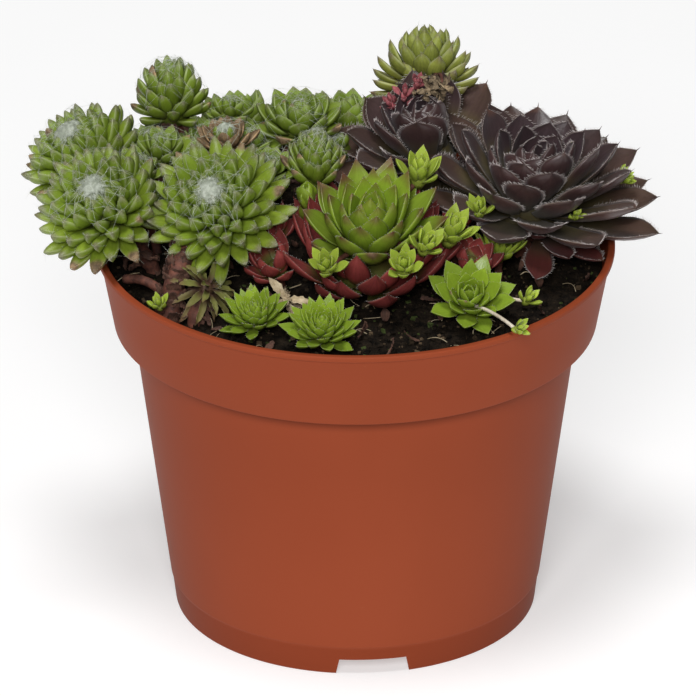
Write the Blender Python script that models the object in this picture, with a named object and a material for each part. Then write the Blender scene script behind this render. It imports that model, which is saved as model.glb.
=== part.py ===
"""A round plastic nursery pot planted with a mixed clump of houseleeks.

The pot stands on z = 0 with its axis on the Z axis. Each rosette is a core with leaves set on it by the
golden angle. Sizes are in millimetres and are turned into metres where meshes are made.
"""

import math
import random
from dataclasses import dataclass, field

import bmesh
import bpy
from mathutils import Matrix, Vector
from mathutils.bvhtree import BVHTree

MM = 0.001
GAP = 0.3  # clearance between touching pieces
GOLDEN_ANGLE = math.radians(137.508)

# Pot
SEGMENTS = 40
RIM_RADIUS = 60.0
POT_HEIGHT = 90.7
LIP_HEIGHT = 1.4
LIP_WIDTH = 1.6
BAND_TOP_RADIUS = 59.2
BAND_BOTTOM_RADIUS = 55.9
BAND_BOTTOM = 71.5
BODY_TOP_RADIUS = 51.6
FOOT_LINE_RADIUS = 43.06
FOOT_LINE = 7.46
FOOT_RADIUS = 41.9
FOOT_WIDTH = 1.5
WALL = 1.1
FLOOR_BOTTOM = 6.0
FLOOR_TOP = 7.2
FOOT_TAPER = 0.6  # the foot ring's inner face leans out by this much up to the floor
NOTCH_COUNT = 3
NOTCH_ANGLE = math.radians(-84.5)
NOTCH_BOTTOM_WIDTH = 17.0
NOTCH_TOP_WIDTH = 15.5
NOTCH_HEIGHT = 3.9
CUTTER_MARGIN = 4.0  # how far a cutter reaches past the wall that it cuts
DRAIN_RING_RADIUS = 26.0
DRAIN_RADIUS = 3.5
DRAIN_COUNT = 6
DRAIN_SIDES = 10

# Soil
SOIL_LEVEL = 84.6
SOIL_EDGE_RADIUS = 57.2
SOIL_RINGS = (13.0, 27.0, 40.0, 51.0)
MOUND_CENTRE = (-16.0, 23.0)
MOUND_HEIGHT = 14.0
MOUND_SPREAD = 19.0
STEM_SIDES = 5
STEM_DEPTH = 5.0
STEM_RISE = 1.5  # a stem stands straight to this height above the soil, then leans to its core
RUNNER_ARCH = 1.0  # height of a runner's middle above the straight line
RUNNER_RADIUS = 0.75
RUNNER_SIDES = 4
RUNNER_STEPS = 3

# Leaf outlines: (distance along the leaf, share of the full width, share of the full thickness)
OUTLINES = {
    "spoon": ((0.0, 0.36, 0.6), (0.64, 1.0, 0.95)),
    "ovate": ((0.0, 0.34, 0.7), (0.45, 0.94, 1.0), (0.76, 0.86, 0.75)),
    "narrow": ((0.0, 0.36, 0.8), (0.56, 1.0, 0.9)),
}
EDGE_RISE = 0.2  # height of a leaf's edges above its midline, as a share of its thickness
CREASE_RISE = 0.12  # the same for the middle of its upper face
KEEL_DROP = 0.8  # depth of its keel below the midline
ROOT_DEPTH = 1.1  # how far a leaf's root lies inside its core
MOST_ROOT_DEPTH = 0.3  # the same as a share of the core's radius, at most
PLAIN_FROM = 0.62  # leaves further in than this share have the narrow outline
# What a leaf that would cross its neighbours tries instead: (degrees of pitch added, share of its length)
TRIES = (
    (0, 1.0), (6, 1.0), (-6, 1.0), (12, 1.0), (-12, 1.0), (19, 0.95), (-19, 0.95), (6, 0.85), (-8, 0.85),
    (26, 0.85), (14, 0.75), (0, 0.72), (-14, 0.72), (34, 0.7), (20, 0.6), (5, 0.58), (-10, 0.5), (44, 0.5),
)  # fmt: skip

GREEN_WEB = (0.19, 0.32, 0.075, 1.0)
GREEN_FRESH = (0.22, 0.42, 0.05, 1.0)
GREEN_PALE = (0.34, 0.52, 0.07, 1.0)
RED_LEAF = (0.20, 0.025, 0.025, 1.0)
DARK_LEAF = (0.045, 0.028, 0.030, 1.0)
DRY_LEAF = (0.25, 0.15, 0.09, 1.0)
TERRACOTTA = (0.31, 0.070, 0.028, 1.0)
PEAT = (0.012, 0.009, 0.007, 1.0)


@dataclass
class Crown:
    """A head of leaves: where its core stands and how its leaves are set on it."""

    centre: tuple
    axis: tuple
    reach: float  # from the centre to the tips of the outermost leaves
    leaves: int
    width: float
    thick: float
    core: tuple  # radius and height of the core
    pitch: tuple  # degrees above the plane of the crown, outermost and innermost
    curl: float  # degrees that a leaf bends inwards along its length
    spread: tuple  # degrees of latitude on the core, outermost and innermost
    inner: float  # length of the innermost leaf as a share of the outermost
    outline: str
    kite: bool = False  # four-sided leaf section instead of three-sided
    turn: float = 0.0  # degrees that the first leaf is turned by


@dataclass
class Plant:
    """One crown with its stem, and the offsets that grow from it."""

    name: str
    colour: tuple
    crown: Crown
    soil_at: tuple = None  # where the stem goes into the soil
    stem: float = 1.8  # stem radius
    flat_base: bool = False  # the core ends in a flat underside and has no stem
    offsets: list = field(default_factory=list)


# How the leaves of each kind of rosette are set
COBWEB = dict(pitch=(-4, 84), curl=26, spread=(-26, 82), inner=0.5, outline="spoon")
WEBBED_CUP = dict(pitch=(16, 84), curl=22, spread=(-8, 82), inner=0.6, outline="spoon")
DARK = dict(pitch=(1, 62), curl=10, spread=(-10, 80), inner=0.40, outline="ovate", kite=True)
CENTRAL = dict(pitch=(24, 85), curl=12, spread=(4, 82), inner=0.6, outline="ovate", kite=True)
RED_RING = dict(pitch=(10, 38), curl=35, spread=(-22, 24), inner=0.86, outline="ovate", kite=True)
FRESH = dict(pitch=(12, 84), curl=14, spread=(-5, 82), inner=0.5, outline="narrow")
COLUMN = dict(pitch=(48, 88), curl=10, spread=(-8, 84), inner=0.66, outline="spoon")
DOME = dict(pitch=(-2, 86), curl=30, spread=(-28, 82), inner=0.75, outline="spoon")
BARREL = dict(pitch=(24, 86), curl=26, spread=(-26, 82), inner=0.66, outline="spoon")
WITHERED = dict(pitch=(-30, 70), curl=-35, spread=(-20, 70), inner=0.8, outline="narrow")
BUD = dict(pitch=(28, 84), curl=16, spread=(0, 80), inner=0.62, outline="narrow")


def bud(centre, axis, reach, leaves, turn=0.0):
    """A small offset: a loose cup of narrow pale leaves."""
    size = dict(width=reach * 0.48, thick=0.9, core=(reach * 0.3, reach * 0.42))
    return Crown(centre, axis, reach, leaves, turn=turn, **size, **BUD)


CENTRE = (3.0, -15.5, 97.3)
CENTRE_AXIS = (0.03, -0.27, 0.96)
RED_DROP = 6.6  # distance of the red ring's core below the green crown's core
RED_CENTRE = tuple(Vector(CENTRE) - RED_DROP * Vector(CENTRE_AXIS).normalized())

PLANTS = [
    Plant(
        "dark_rosette",
        DARK_LEAF,
        Crown((42.0, 7.0, 99.6), (0.10, -0.10, 0.98), 32.0, 38, 10.2, 1.8, (8.4, 7.0), turn=350, **DARK),
        soil_at=(39.0, 7.0),
        stem=3.2,
        offsets=[bud((28.5, -10.0, 103.0), (-0.1, -0.4, 0.9), 3.6, 5)],
    ),
    Plant(
        "centre_red_ring",
        RED_LEAF,
        Crown(RED_CENTRE, CENTRE_AXIS, 24.0, 18, 8.4, 1.8, (8.2, 4.2), turn=35, **RED_RING),
        soil_at=(2.0, -12.0),
        stem=2.6,
    ),
    Plant(
        "centre_crown",
        GREEN_FRESH,
        Crown(CENTRE, CENTRE_AXIS, 20.5, 27, 9.6, 2.2, (6.0, 5.6), turn=75, **CENTRAL),
        flat_base=True,
        offsets=[
            bud((-6.5, -31.5, 99.0), (-0.1, -0.55, 0.83), 4.6, 6),
            bud((14.5, -9.0, 111.0), (0.1, -0.3, 0.95), 5.4, 7, 20),
            bud((21.5, -19.5, 101.0), (0.25, -0.3, 0.92), 5.6, 7, 50),
            bud((11.0, -32.0, 99.0), (0.0, -0.6, 0.8), 4.6, 6, 80),
            bud((15.6, -28.0, 102.5), (0.3, -0.4, 0.85), 4.4, 6, 10),
        ],
    ),
    Plant(
        "dark_left_rosette",
        DARK_LEAF,
        Crown((21.0, 21.0, 101.0), (-0.08, -0.16, 0.98), 26.0, 24, 10.0, 1.8, (6.4, 6.0), turn=170, **DARK),
        soil_at=(19.0, 21.0),
        stem=2.4,
    ),
    Plant(
        "cobweb_middle",
        GREEN_WEB,
        Crown((-31.6, -12.3, 104.4), (-0.18, -0.61, 0.77), 18.2, 43, 5.7, 2.5, (6.6, 6.6), turn=10, **COBWEB),
        soil_at=(-32.0, -4.0),
    ),
    Plant(
        "cobweb_left_front",
        GREEN_WEB,
        Crown((-57.4, -9.6, 103.2), (-0.30, -0.50, 0.81), 17.0, 39, 5.5, 2.4, (6.2, 6.2), turn=130, **COBWEB),
        soil_at=(-47.0, -6.0),
    ),
    Plant(
        "cobweb_left_back",
        GREEN_WEB,
        Crown((-62.2, 15.0, 104.2), (-0.44, -0.22, 0.87), 15.4, 34, 5.3, 2.2, (5.6, 5.8), turn=205, **COBWEB),
        soil_at=(-49.0, 14.0),
    ),
    Plant(
        "upright_rosette",
        GREEN_WEB,
        Crown((-9.4, -1.0, 105.0), (0.02, -0.12, 0.99), 7.6, 18, 4.0, 1.6, (3.4, 13.0), turn=30, **COLUMN),
        soil_at=(-10.0, 0.0),
        stem=1.5,
    ),
    Plant(
        "green_cup_rosette",
        GREEN_WEB,
        Crown((-13.0, 24.0, 107.6), (0.0, -0.1, 0.99), 12.0, 18, 6.2, 2.0, (4.6, 4.2), turn=60, **WEBBED_CUP),
        soil_at=(-13.0, 22.0),
    ),
    Plant(
        "top_right_rosette",
        GREEN_PALE,
        Crown((16.4, 38.0, 114.0), (0.0, 0.30, 0.95), 14.0, 28, 5.2, 1.9, (5.0, 8.0), **DOME),
        soil_at=(13.0, 38.0),
    ),
    Plant(
        "top_left_rosette",
        GREEN_WEB,
        Crown((-42.5, 28.0, 111.6), (-0.08, 0.12, 0.99), 10.8, 24, 4.6, 2.0, (4.4, 5.4), turn=90, **BARREL),
        soil_at=(-39.0, 28.0),
    ),
    Plant(
        "front_right_rosette",
        GREEN_PALE,
        Crown((26.0, -32.0, 89.4), (0.04, -0.36, 0.93), 11.2, 19, 5.2, 1.4, (3.2, 3.6), turn=15, **FRESH),
        soil_at=(25.6, -30.5),
        stem=1.2,
        offsets=[
            bud((39.0, -32.0, 91.2), (0.5, -0.3, 0.8), 3.6, 5),
            bud((36.6, -51.0, 93.4), (0.6, -0.6, 0.5), 3.0, 5, 30),
        ],
    ),
    Plant(
        "front_middle_rosette",
        GREEN_FRESH,
        Crown((-7.5, -43.0, 88.4), (0.0, -0.36, 0.93), 10.0, 19, 4.8, 1.5, (3.0, 3.4), turn=40, **FRESH),
        soil_at=(-7.5, -42.0),
        stem=1.2,
    ),
    Plant(
        "front_left_rosette",
        GREEN_FRESH,
        Crown((-23.0, -35.0, 88.4), (-0.15, -0.3, 0.94), 9.2, 16, 4.4, 1.4, (2.6, 3.0), turn=100, **FRESH),
        soil_at=(-23.0, -34.0),
        stem=1.2,
    ),
    Plant(
        "feathery_offset",
        GREEN_FRESH,
        Crown((32.8, -8.0, 91.0), (0.1, -0.2, 0.97), 6.8, 10, 2.2, 1.0, (2.0, 2.2), **BUD),
        soil_at=(33.0, -8.0),
        stem=1.0,
    ),
    Plant(
        "woolly_rosette",
        DRY_LEAF,
        Crown((-29.8, 12.0, 108.6), (-0.1, -0.1, 0.98), 7.6, 11, 3.4, 1.4, (2.8, 3.0), **WEBBED_CUP),
        soil_at=(-28.0, 11.0),
        stem=1.3,
    ),
    Plant(
        "thread_rosette",
        GREEN_WEB,
        Crown((-45.0, 12.0, 106.0), (0.0, -0.1, 0.99), 9.2, 12, 3.6, 1.5, (3.0, 3.2), turn=45, **WEBBED_CUP),
        soil_at=(-42.0, 11.0),
        stem=1.3,
    ),
    Plant(
        "small_top_rosette",
        GREEN_WEB,
        Crown((-29.5, 25.5, 110.0), (0.1, 0.15, 0.97), 6.8, 10, 3.0, 1.3, (2.4, 2.8), turn=20, **WEBBED_CUP),
        soil_at=(-28.0, 25.0),
        stem=1.3,
    ),
    Plant(
        "back_left_rosette",
        GREEN_FRESH,
        Crown((-27.0, 39.0, 99.0), (-0.1, 0.25, 0.97), 14.0, 14, 6.8, 1.9, (4.6, 4.2), **FRESH),
        soil_at=(-27.0, 38.0),
        stem=1.5,
    ),
    Plant(
        "back_right_rosette",
        GREEN_FRESH,
        Crown((-2.0, 38.0, 100.0), (0.0, 0.15, 0.99), 13.5, 14, 6.4, 1.8, (4.4, 4.0), turn=70, **FRESH),
        soil_at=(-2.0, 37.0),
        stem=1.5,
    ),
    Plant(
        "withered_stem",
        DRY_LEAF,
        Crown((-38.0, -27.5, 92.5), (-0.1, -0.2, 0.97), 6.6, 10, 4.0, 0.8, (2.4, 2.8), **WITHERED),
        soil_at=(-37.0, -31.0),
        stem=1.6,
    ),
]


def soil_height(x, y):
    """Level of the loose soil surface, heaped up where the old plants' roots and stems crowd together."""
    waves = 0.8 * math.sin(0.13 * x + 1.1) * math.cos(0.11 * y) + 0.5 * math.sin(0.29 * x - 0.21 * y)
    away = math.hypot(x - MOUND_CENTRE[0], y - MOUND_CENTRE[1]) / MOUND_SPREAD
    edge = max(0.0, 1 - (math.hypot(x, y) / SOIL_EDGE_RADIUS) ** 4)
    return SOIL_LEVEL + waves + MOUND_HEIGHT * math.exp(-away * away / 2) * edge


def material(name, colour, roughness):
    """A plain Principled material."""
    made = bpy.data.materials.new(name)
    made.use_nodes = True
    shader = made.node_tree.nodes["Principled BSDF"]
    shader.inputs["Base Color"].default_value = colour
    shader.inputs["Roughness"].default_value = roughness
    shader.inputs["Metallic"].default_value = 0.0
    return made


def new_object(name, verts, faces, made_of=None, collection=None):
    """An object from points in millimetres."""
    mesh = bpy.data.meshes.new(name)
    mesh.from_pydata([Vector(v) * MM for v in verts], [], faces)
    obj = bpy.data.objects.new(name, mesh)
    (collection or bpy.context.scene.collection).objects.link(obj)
    if made_of:
        mesh.materials.append(made_of)
    return obj


def lathe(name, profile, made_of):
    """A closed body turned from (radius, height) points that start and end on the axis."""
    segments = SEGMENTS
    rings = [point for point in profile if point[0] > 0]
    verts = []
    for radius, height in rings:
        for step in range(segments):
            angle = 2 * math.pi * step / segments
            verts.append((radius * math.cos(angle), radius * math.sin(angle), height))
    first, last = len(verts), len(verts) + 1
    verts += [(0, 0, profile[0][1]), (0, 0, profile[-1][1])]
    faces = []
    for ring in range(len(rings) - 1):
        for step in range(segments):
            a = ring * segments + step
            b = ring * segments + (step + 1) % segments
            faces.append((a, b, b + segments, a + segments))
    for step in range(segments):
        following = (step + 1) % segments
        top = (len(rings) - 1) * segments
        faces.append((first, following, step))
        faces.append((last, top + step, top + following))
    return new_object(name, verts, faces, made_of)


def prism(corners_low, corners_high):
    """Points and faces of a closed prism between two matching loops, the first one seen from below."""
    count = len(corners_low)
    faces = [tuple(reversed(range(count))), tuple(range(count, 2 * count))]
    for i in range(count):
        j = (i + 1) % count
        faces.append((i, j, count + j, count + i))
    return list(corners_low) + list(corners_high), faces


def circle(x, y, z, radius, sides):
    angles = [2 * math.pi * i / sides for i in range(sides)]
    return [(x + radius * math.cos(a), y + radius * math.sin(a), z) for a in angles]


def merge(shapes):
    """One list of points and faces from several separate shapes."""
    verts, faces = [], []
    for shape_verts, shape_faces in shapes:
        start = len(verts)
        verts += shape_verts
        faces += [tuple(start + i for i in face) for face in shape_faces]
    return verts, faces


def cut(target, name, shapes):
    """Cuts closed shapes, which don't touch each other, out of the target."""
    cutter = new_object(name, *merge(shapes))
    cutter.hide_render = True
    cutter.display_type = "WIRE"
    modifier = target.modifiers.new(name, "BOOLEAN")
    modifier.operation = "DIFFERENCE"
    modifier.solver = "EXACT"
    modifier.object = cutter


def inner_wall():
    """(radius, height) points of the pot's inner face, from the floor to the lip."""
    return [
        (FOOT_LINE_RADIUS - WALL, FLOOR_TOP),
        (BODY_TOP_RADIUS - WALL, BAND_BOTTOM + WALL),
        (BAND_BOTTOM_RADIUS - WALL, BAND_BOTTOM + WALL),
        (RIM_RADIUS - LIP_WIDTH, POT_HEIGHT),
    ]


def build_pot():
    outer = [
        (FOOT_RADIUS - FOOT_WIDTH + FOOT_TAPER, FLOOR_BOTTOM),
        (FOOT_RADIUS - FOOT_WIDTH, 0),
        (FOOT_RADIUS, 0),
        (FOOT_LINE_RADIUS, FOOT_LINE),
        (BODY_TOP_RADIUS, BAND_BOTTOM),
        (BAND_BOTTOM_RADIUS, BAND_BOTTOM),
        (BAND_TOP_RADIUS, POT_HEIGHT - LIP_HEIGHT),
        (RIM_RADIUS, POT_HEIGHT - LIP_HEIGHT),
        (RIM_RADIUS, POT_HEIGHT),
    ]
    profile = [(0, FLOOR_BOTTOM)] + outer + inner_wall()[::-1] + [(0, FLOOR_TOP)]
    pot = lathe("pot", profile, material("terracotta plastic", TERRACOTTA, 0.45))
    notches = []
    for index in range(NOTCH_COUNT):
        angle = NOTCH_ANGLE + 2 * math.pi * index / NOTCH_COUNT
        turned = Matrix.Rotation(angle, 3, "Z")
        loops = []
        widening = (NOTCH_BOTTOM_WIDTH - NOTCH_TOP_WIDTH) / NOTCH_HEIGHT
        for height in (-CUTTER_MARGIN, NOTCH_HEIGHT):
            half = (NOTCH_TOP_WIDTH + widening * (NOTCH_HEIGHT - height)) / 2
            near = FOOT_RADIUS - FOOT_WIDTH - CUTTER_MARGIN
            far = FOOT_RADIUS + CUTTER_MARGIN
            flat = [(near, -half), (far, -half), (far, half), (near, half)]
            loops.append([tuple(turned @ Vector((x, y, height))) for x, y in flat])
        notches.append(prism(*loops))
    cut(pot, "foot notches", notches)
    drains = []
    for index in range(DRAIN_COUNT):
        angle = NOTCH_ANGLE + 2 * math.pi * index / DRAIN_COUNT
        x, y = DRAIN_RING_RADIUS * math.cos(angle), DRAIN_RING_RADIUS * math.sin(angle)
        drains.append(
            prism(
                circle(x, y, FLOOR_BOTTOM - CUTTER_MARGIN, DRAIN_RADIUS, DRAIN_SIDES),
                circle(x, y, FLOOR_TOP + CUTTER_MARGIN, DRAIN_RADIUS, DRAIN_SIDES),
            )
        )
    cut(pot, "drain holes", drains)
    return pot


def build_soil():
    floor, ledge_in, ledge_out, lip = inner_wall()
    slope = (lip[0] - ledge_out[0]) / (lip[1] - ledge_out[1])
    edge_radius = ledge_out[0] + slope * (SOIL_LEVEL - ledge_out[1]) - GAP
    profile = [
        (0, floor[1] + GAP),
        (floor[0] - GAP, floor[1] + GAP),
        (ledge_in[0] - GAP, ledge_in[1]),
        (ledge_in[0] - GAP, ledge_in[1] + GAP),
        (ledge_out[0] - GAP, ledge_out[1] + GAP),
        (edge_radius, SOIL_LEVEL),
    ]
    profile += [(radius, SOIL_LEVEL) for radius in SOIL_RINGS[::-1]] + [(0, SOIL_LEVEL)]
    soil = lathe("soil", profile, material("peat", PEAT, 0.95))
    for vertex in soil.data.vertices:
        x, y, z = vertex.co / MM
        if z > SOIL_LEVEL - 0.01 and math.hypot(x, y) < edge_radius - 1:
            vertex.co.z = soil_height(x, y) * MM
    holes = []
    for plant in PLANTS:
        if plant.soil_at:
            x, y = plant.soil_at
            radius = plant.stem + GAP
            low = circle(x, y, soil_height(x, y) - STEM_DEPTH - GAP, radius, STEM_SIDES)
            high = circle(x, y, SOIL_LEVEL + MOUND_HEIGHT + CUTTER_MARGIN, radius, STEM_SIDES)
            holes.append(prism(low, high))
    cut(soil, "stem holes", holes)
    return soil


def crown_matrix(crown):
    """Placement of a crown: its core's centre, with +Z along its axis."""
    turned = Vector(crown.axis).to_track_quat("Z", "Y")
    return Matrix.LocRotScale(Vector(crown.centre), turned, None)


def core_shape(crown, flat_base=False):
    """The lump that the leaves stand on."""
    radius, height = crown.core
    if flat_base:
        profile = [(radius * 0.8, -2.0), (radius, 0), (radius * 0.72, height * 0.66)]
    else:
        profile = [(radius * 0.62, -height * 0.7), (radius, 0), (radius * 0.72, height * 0.66)]
    sides = 8 if radius > 4 else 5
    verts = [point for r, z in profile for point in circle(0, 0, z, r, sides)]
    verts.append((0, 0, height))
    faces = [tuple(reversed(range(sides)))]
    for ring in range(len(profile) - 1):
        for i in range(sides):
            j = (i + 1) % sides
            a, b = ring * sides, (ring + 1) * sides
            faces.append((a + i, a + j, b + j, b + i))
    top = (len(profile) - 1) * sides
    for i in range(sides):
        faces.append((top + i, top + (i + 1) % sides, len(verts) - 1))
    return verts, faces


def stem_shape(plant):
    """A stem from its hole in the soil up into the core, in world places."""
    x, y = plant.soil_at
    ground = soil_height(x, y)
    centre = Vector(plant.crown.centre)
    rise = ground + STEM_RISE
    middle = Vector((x, y, rise)).lerp(centre, 0.58)
    levels = [(x, y, ground - STEM_DEPTH), (x, y, rise), tuple(middle), tuple(centre)]
    verts = [point for place in levels for point in circle(*place, plant.stem, STEM_SIDES)]
    count = STEM_SIDES
    faces = [tuple(reversed(range(count))), tuple(range(3 * count, 4 * count))]
    for ring in range(3):
        for i in range(count):
            j = (i + 1) % count
            a, b = ring * count, (ring + 1) * count
            faces.append((a + i, a + j, b + j, b + i))
    return verts, faces


def runner_shape(start, end):
    """A round runner that arches from one place to another."""
    start, end, sides, steps = Vector(start), Vector(end), RUNNER_SIDES, RUNNER_STEPS
    path = []
    for step in range(steps + 1):
        t = step / steps
        path.append(start.lerp(end, t) + Vector((0, 0, RUNNER_ARCH * 4 * t * (1 - t))))
    verts = []
    for index, place in enumerate(path):
        along = path[min(index + 1, steps)] - path[max(index - 1, 0)]
        turned = along.to_track_quat("Z", "Y").to_matrix()
        for point in circle(0, 0, 0, RUNNER_RADIUS, sides):
            verts.append(tuple(place + turned @ Vector(point)))
    faces = [tuple(reversed(range(sides))), tuple(range(steps * sides, (steps + 1) * sides))]
    for ring in range(steps):
        for i in range(sides):
            j = (i + 1) % sides
            a, b = ring * sides, (ring + 1) * sides
            faces.append((a + i, a + j, b + j, b + i))
    return verts, faces


def leaf_plan(crown, seed):
    """The leaves of a crown from the outermost in: azimuth, latitude, pitch, length, width and curl."""
    draw = random.Random(seed)
    radius = crown.core[0]
    lowest, bend = math.radians(crown.pitch[0]), math.radians(crown.curl)
    across = (math.sin(lowest + bend) - math.sin(lowest)) / bend
    full = (crown.reach - radius * 0.85) / across
    plan = []
    for index in range(crown.leaves):
        t = index / max(crown.leaves - 1, 1)
        low, high = (math.sin(math.radians(a)) for a in crown.spread)
        latitude = math.asin(low + (high - low) * t)
        pitch = crown.pitch[0] + (crown.pitch[1] - crown.pitch[0]) * t**1.1
        size = 1 + (crown.inner - 1) * t**1.4
        plan.append(
            {
                "azimuth": math.radians(crown.turn) + index * GOLDEN_ANGLE + draw.uniform(-0.06, 0.06),
                "latitude": latitude,
                "pitch": math.radians(pitch + draw.uniform(-4, 4)),
                "length": full * size * draw.uniform(0.93, 1.05),
                "width": crown.width * (0.35 + 0.65 * size) * draw.uniform(0.94, 1.06),
                "thick": crown.thick * (0.6 + 0.4 * size),
                "curl": math.radians(crown.curl),
                "inside": t > PLAIN_FROM,
            }
        )
    return plan


def leaf_shape(crown, leaf, pitch_added=0.0, length_share=1.0, grow=0.0):
    """Points and faces of one leaf in its crown's frame."""
    out = Vector((math.cos(leaf["azimuth"]), math.sin(leaf["azimuth"]), 0))
    side = Vector((-out.y, out.x, 0))
    up = Vector((0, 0, 1))
    radius, height = crown.core
    sunk = 1 - min(MOST_ROOT_DEPTH, ROOT_DEPTH / radius)
    root = out * (radius * math.cos(leaf["latitude"]) * sunk)
    root += up * ((height if leaf["latitude"] > 0 else radius) * math.sin(leaf["latitude"]) * sunk)
    pitch = leaf["pitch"] + pitch_added
    length = leaf["length"] * length_share + grow
    curl = leaf["curl"]

    def centre_at(share):
        end = pitch + curl * share
        along = out * (math.sin(end) - math.sin(pitch)) + up * (math.cos(pitch) - math.cos(end))
        return root + along * (length / curl)

    verts = []
    sections = OUTLINES["narrow" if leaf["inside"] else crown.outline]
    for share, width_share, thick_share in sections:
        bend = pitch + curl * share
        normal = up * math.cos(bend) - out * math.sin(bend)
        half = leaf["width"] * width_share / 2 + grow
        thick = leaf["thick"] * thick_share
        centre = centre_at(share)
        verts.append(centre + side * half + normal * (thick * EDGE_RISE + grow))
        if crown.kite:
            verts.append(centre + normal * (thick * CREASE_RISE + grow))
        verts.append(centre - side * half + normal * (thick * EDGE_RISE + grow))
        verts.append(centre - normal * (thick * KEEL_DROP + grow))
    verts.append(centre_at(1.0))
    around = 4 if crown.kite else 3
    faces = [tuple(range(around))]
    for ring in range(len(sections) - 1):
        for i in range(around):
            j = (i + 1) % around
            a, b = ring * around, (ring + 1) * around
            faces.append((a + i, b + i, b + j, a + j))
    last = (len(sections) - 1) * around
    for i in range(around):
        faces.append((last + i, len(verts) - 1, last + (i + 1) % around))
    return verts, faces


def tree_of(verts, faces):
    return BVHTree.FromPolygons(verts, faces, all_triangles=False, epsilon=0.0)


def object_tree(obj):
    """A search tree of an object's evaluated mesh, in world millimetres."""
    graph = bpy.context.evaluated_depsgraph_get()
    evaluated = obj.evaluated_get(graph)
    mesh = evaluated.to_mesh()
    verts = [evaluated.matrix_world @ v.co / MM for v in mesh.vertices]
    faces = [tuple(face.vertices) for face in mesh.polygons]
    evaluated.to_mesh_clear()
    return tree_of(verts, faces)


def moved(matrix, shape):
    return [matrix @ Vector(v) for v in shape[0]], shape[1]


def place_leaves(crown, seed, obstacles):
    """World shapes of the leaves that clear the obstacles; each bends or shortens until it does."""
    matrix = crown_matrix(crown)
    placed = []
    for leaf in leaf_plan(crown, seed):
        for degrees, share in TRIES:
            added = math.radians(degrees)
            tried = tree_of(*moved(matrix, leaf_shape(crown, leaf, added, share, GAP)))
            if not any(tried.overlap(other) for other in obstacles):
                placed.append(moved(matrix, leaf_shape(crown, leaf, added, share)))
                break
    return placed


def body_shapes(plant):
    """World shapes of a plant's core, stem, runners and the cores of its offsets."""
    shapes = [moved(crown_matrix(plant.crown), core_shape(plant.crown, plant.flat_base))]
    if plant.soil_at:
        shapes.append(stem_shape(plant))
    for crown in plant.offsets:
        shapes.append(moved(crown_matrix(crown), core_shape(crown)))
        shapes.append(runner_shape(plant.crown.centre, crown.centre))
    return shapes


def largest_body(mesh):
    """Keeps the biggest connected outer surface, which drops scraps and fills sealed hollows."""
    work = bmesh.new()
    work.from_mesh(mesh)
    bmesh.ops.remove_doubles(work, verts=work.verts, dist=2e-6)
    bmesh.ops.dissolve_degenerate(work, edges=work.edges, dist=2e-6)
    bmesh.ops.triangulate(work, faces=work.faces)
    seen, bodies = set(), []
    for start in work.faces:
        if start in seen:
            continue
        stack, body = [start], []
        seen.add(start)
        while stack:
            face = stack.pop()
            body.append(face)
            for edge in face.edges:
                for other in edge.link_faces:
                    if other not in seen:
                        seen.add(other)
                        stack.append(other)
        volume = sum(
            f.verts[0].co.dot(f.verts[1].co.cross(f.verts[2].co)) for f in body
        )
        bodies.append((volume, body))
    bodies.sort(key=lambda item: item[0])
    for _, body in bodies[:-1]:
        bmesh.ops.delete(work, geom=body, context="FACES")
    work.to_mesh(mesh)
    work.free()


def fuse(name, shapes, made_of):
    """One closed body from overlapping shapes, by a Boolean union on a collection."""
    base = new_object(name, *shapes[0], made_of)
    group = bpy.data.collections.new(name + " pieces")
    bpy.context.scene.collection.children.link(group)
    for shape in shapes[1:]:
        new_object(name + " piece", *shape, made_of, group)
    modifier = base.modifiers.new("union", "BOOLEAN")
    modifier.operation = "UNION"
    modifier.operand_type = "COLLECTION"
    modifier.collection = group
    modifier.solver = "EXACT"
    graph = bpy.context.evaluated_depsgraph_get()
    mesh = bpy.data.meshes.new_from_object(base.evaluated_get(graph))
    base.modifiers.clear()
    base.data = mesh
    mesh.name = name
    for obj in list(group.objects):
        bpy.data.objects.remove(obj)
    bpy.data.collections.remove(group)
    largest_body(mesh)
    return base


def at_its_core(obj, crown):
    """Moves an object's origin to its core, turned with its axis, and leaves its shape where it is."""
    placed = crown_matrix(crown)
    placed.translation *= MM
    obj.data.transform(placed.inverted())
    obj.matrix_world = placed


def build_plants(obstacles):
    colours = {}
    bodies = [body_shapes(plant) for plant in PLANTS]
    trees = [[tree_of(*shape) for shape in shapes] for shapes in bodies]
    for index, plant in enumerate(PLANTS):
        others = obstacles + [tree for i, group in enumerate(trees) if i != index for tree in group]
        shapes = list(bodies[index])
        for order, crown in enumerate([plant.crown] + plant.offsets):
            leaves = place_leaves(crown, 100 * index + order, others)
            shapes += leaves
            grown = [tree_of(*leaf) for leaf in leaves]
            trees[index] += grown
            if plant.offsets:
                others += grown
        if plant.colour not in colours:
            colours[plant.colour] = material(f"leaf {len(colours) + 1}", plant.colour, 0.5)
        obj = fuse(plant.name, shapes, colours[plant.colour])
        at_its_core(obj, plant.crown)


def main():
    for obj in list(bpy.data.objects):
        bpy.data.objects.remove(obj)
    pot = build_pot()
    soil = build_soil()
    build_plants([object_tree(pot), object_tree(soil)])


main()
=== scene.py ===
"""Looks of the potted houseleek: fine leaves, wool, webs, dry leaves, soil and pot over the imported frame.

Lengths are in millimetres in the pot's frame until a mesh is made, which is in metres.
"""

import math
import random

import bpy
import numpy as np
from mathutils import Matrix, Vector
from mathutils.bvhtree import BVHTree


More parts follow.
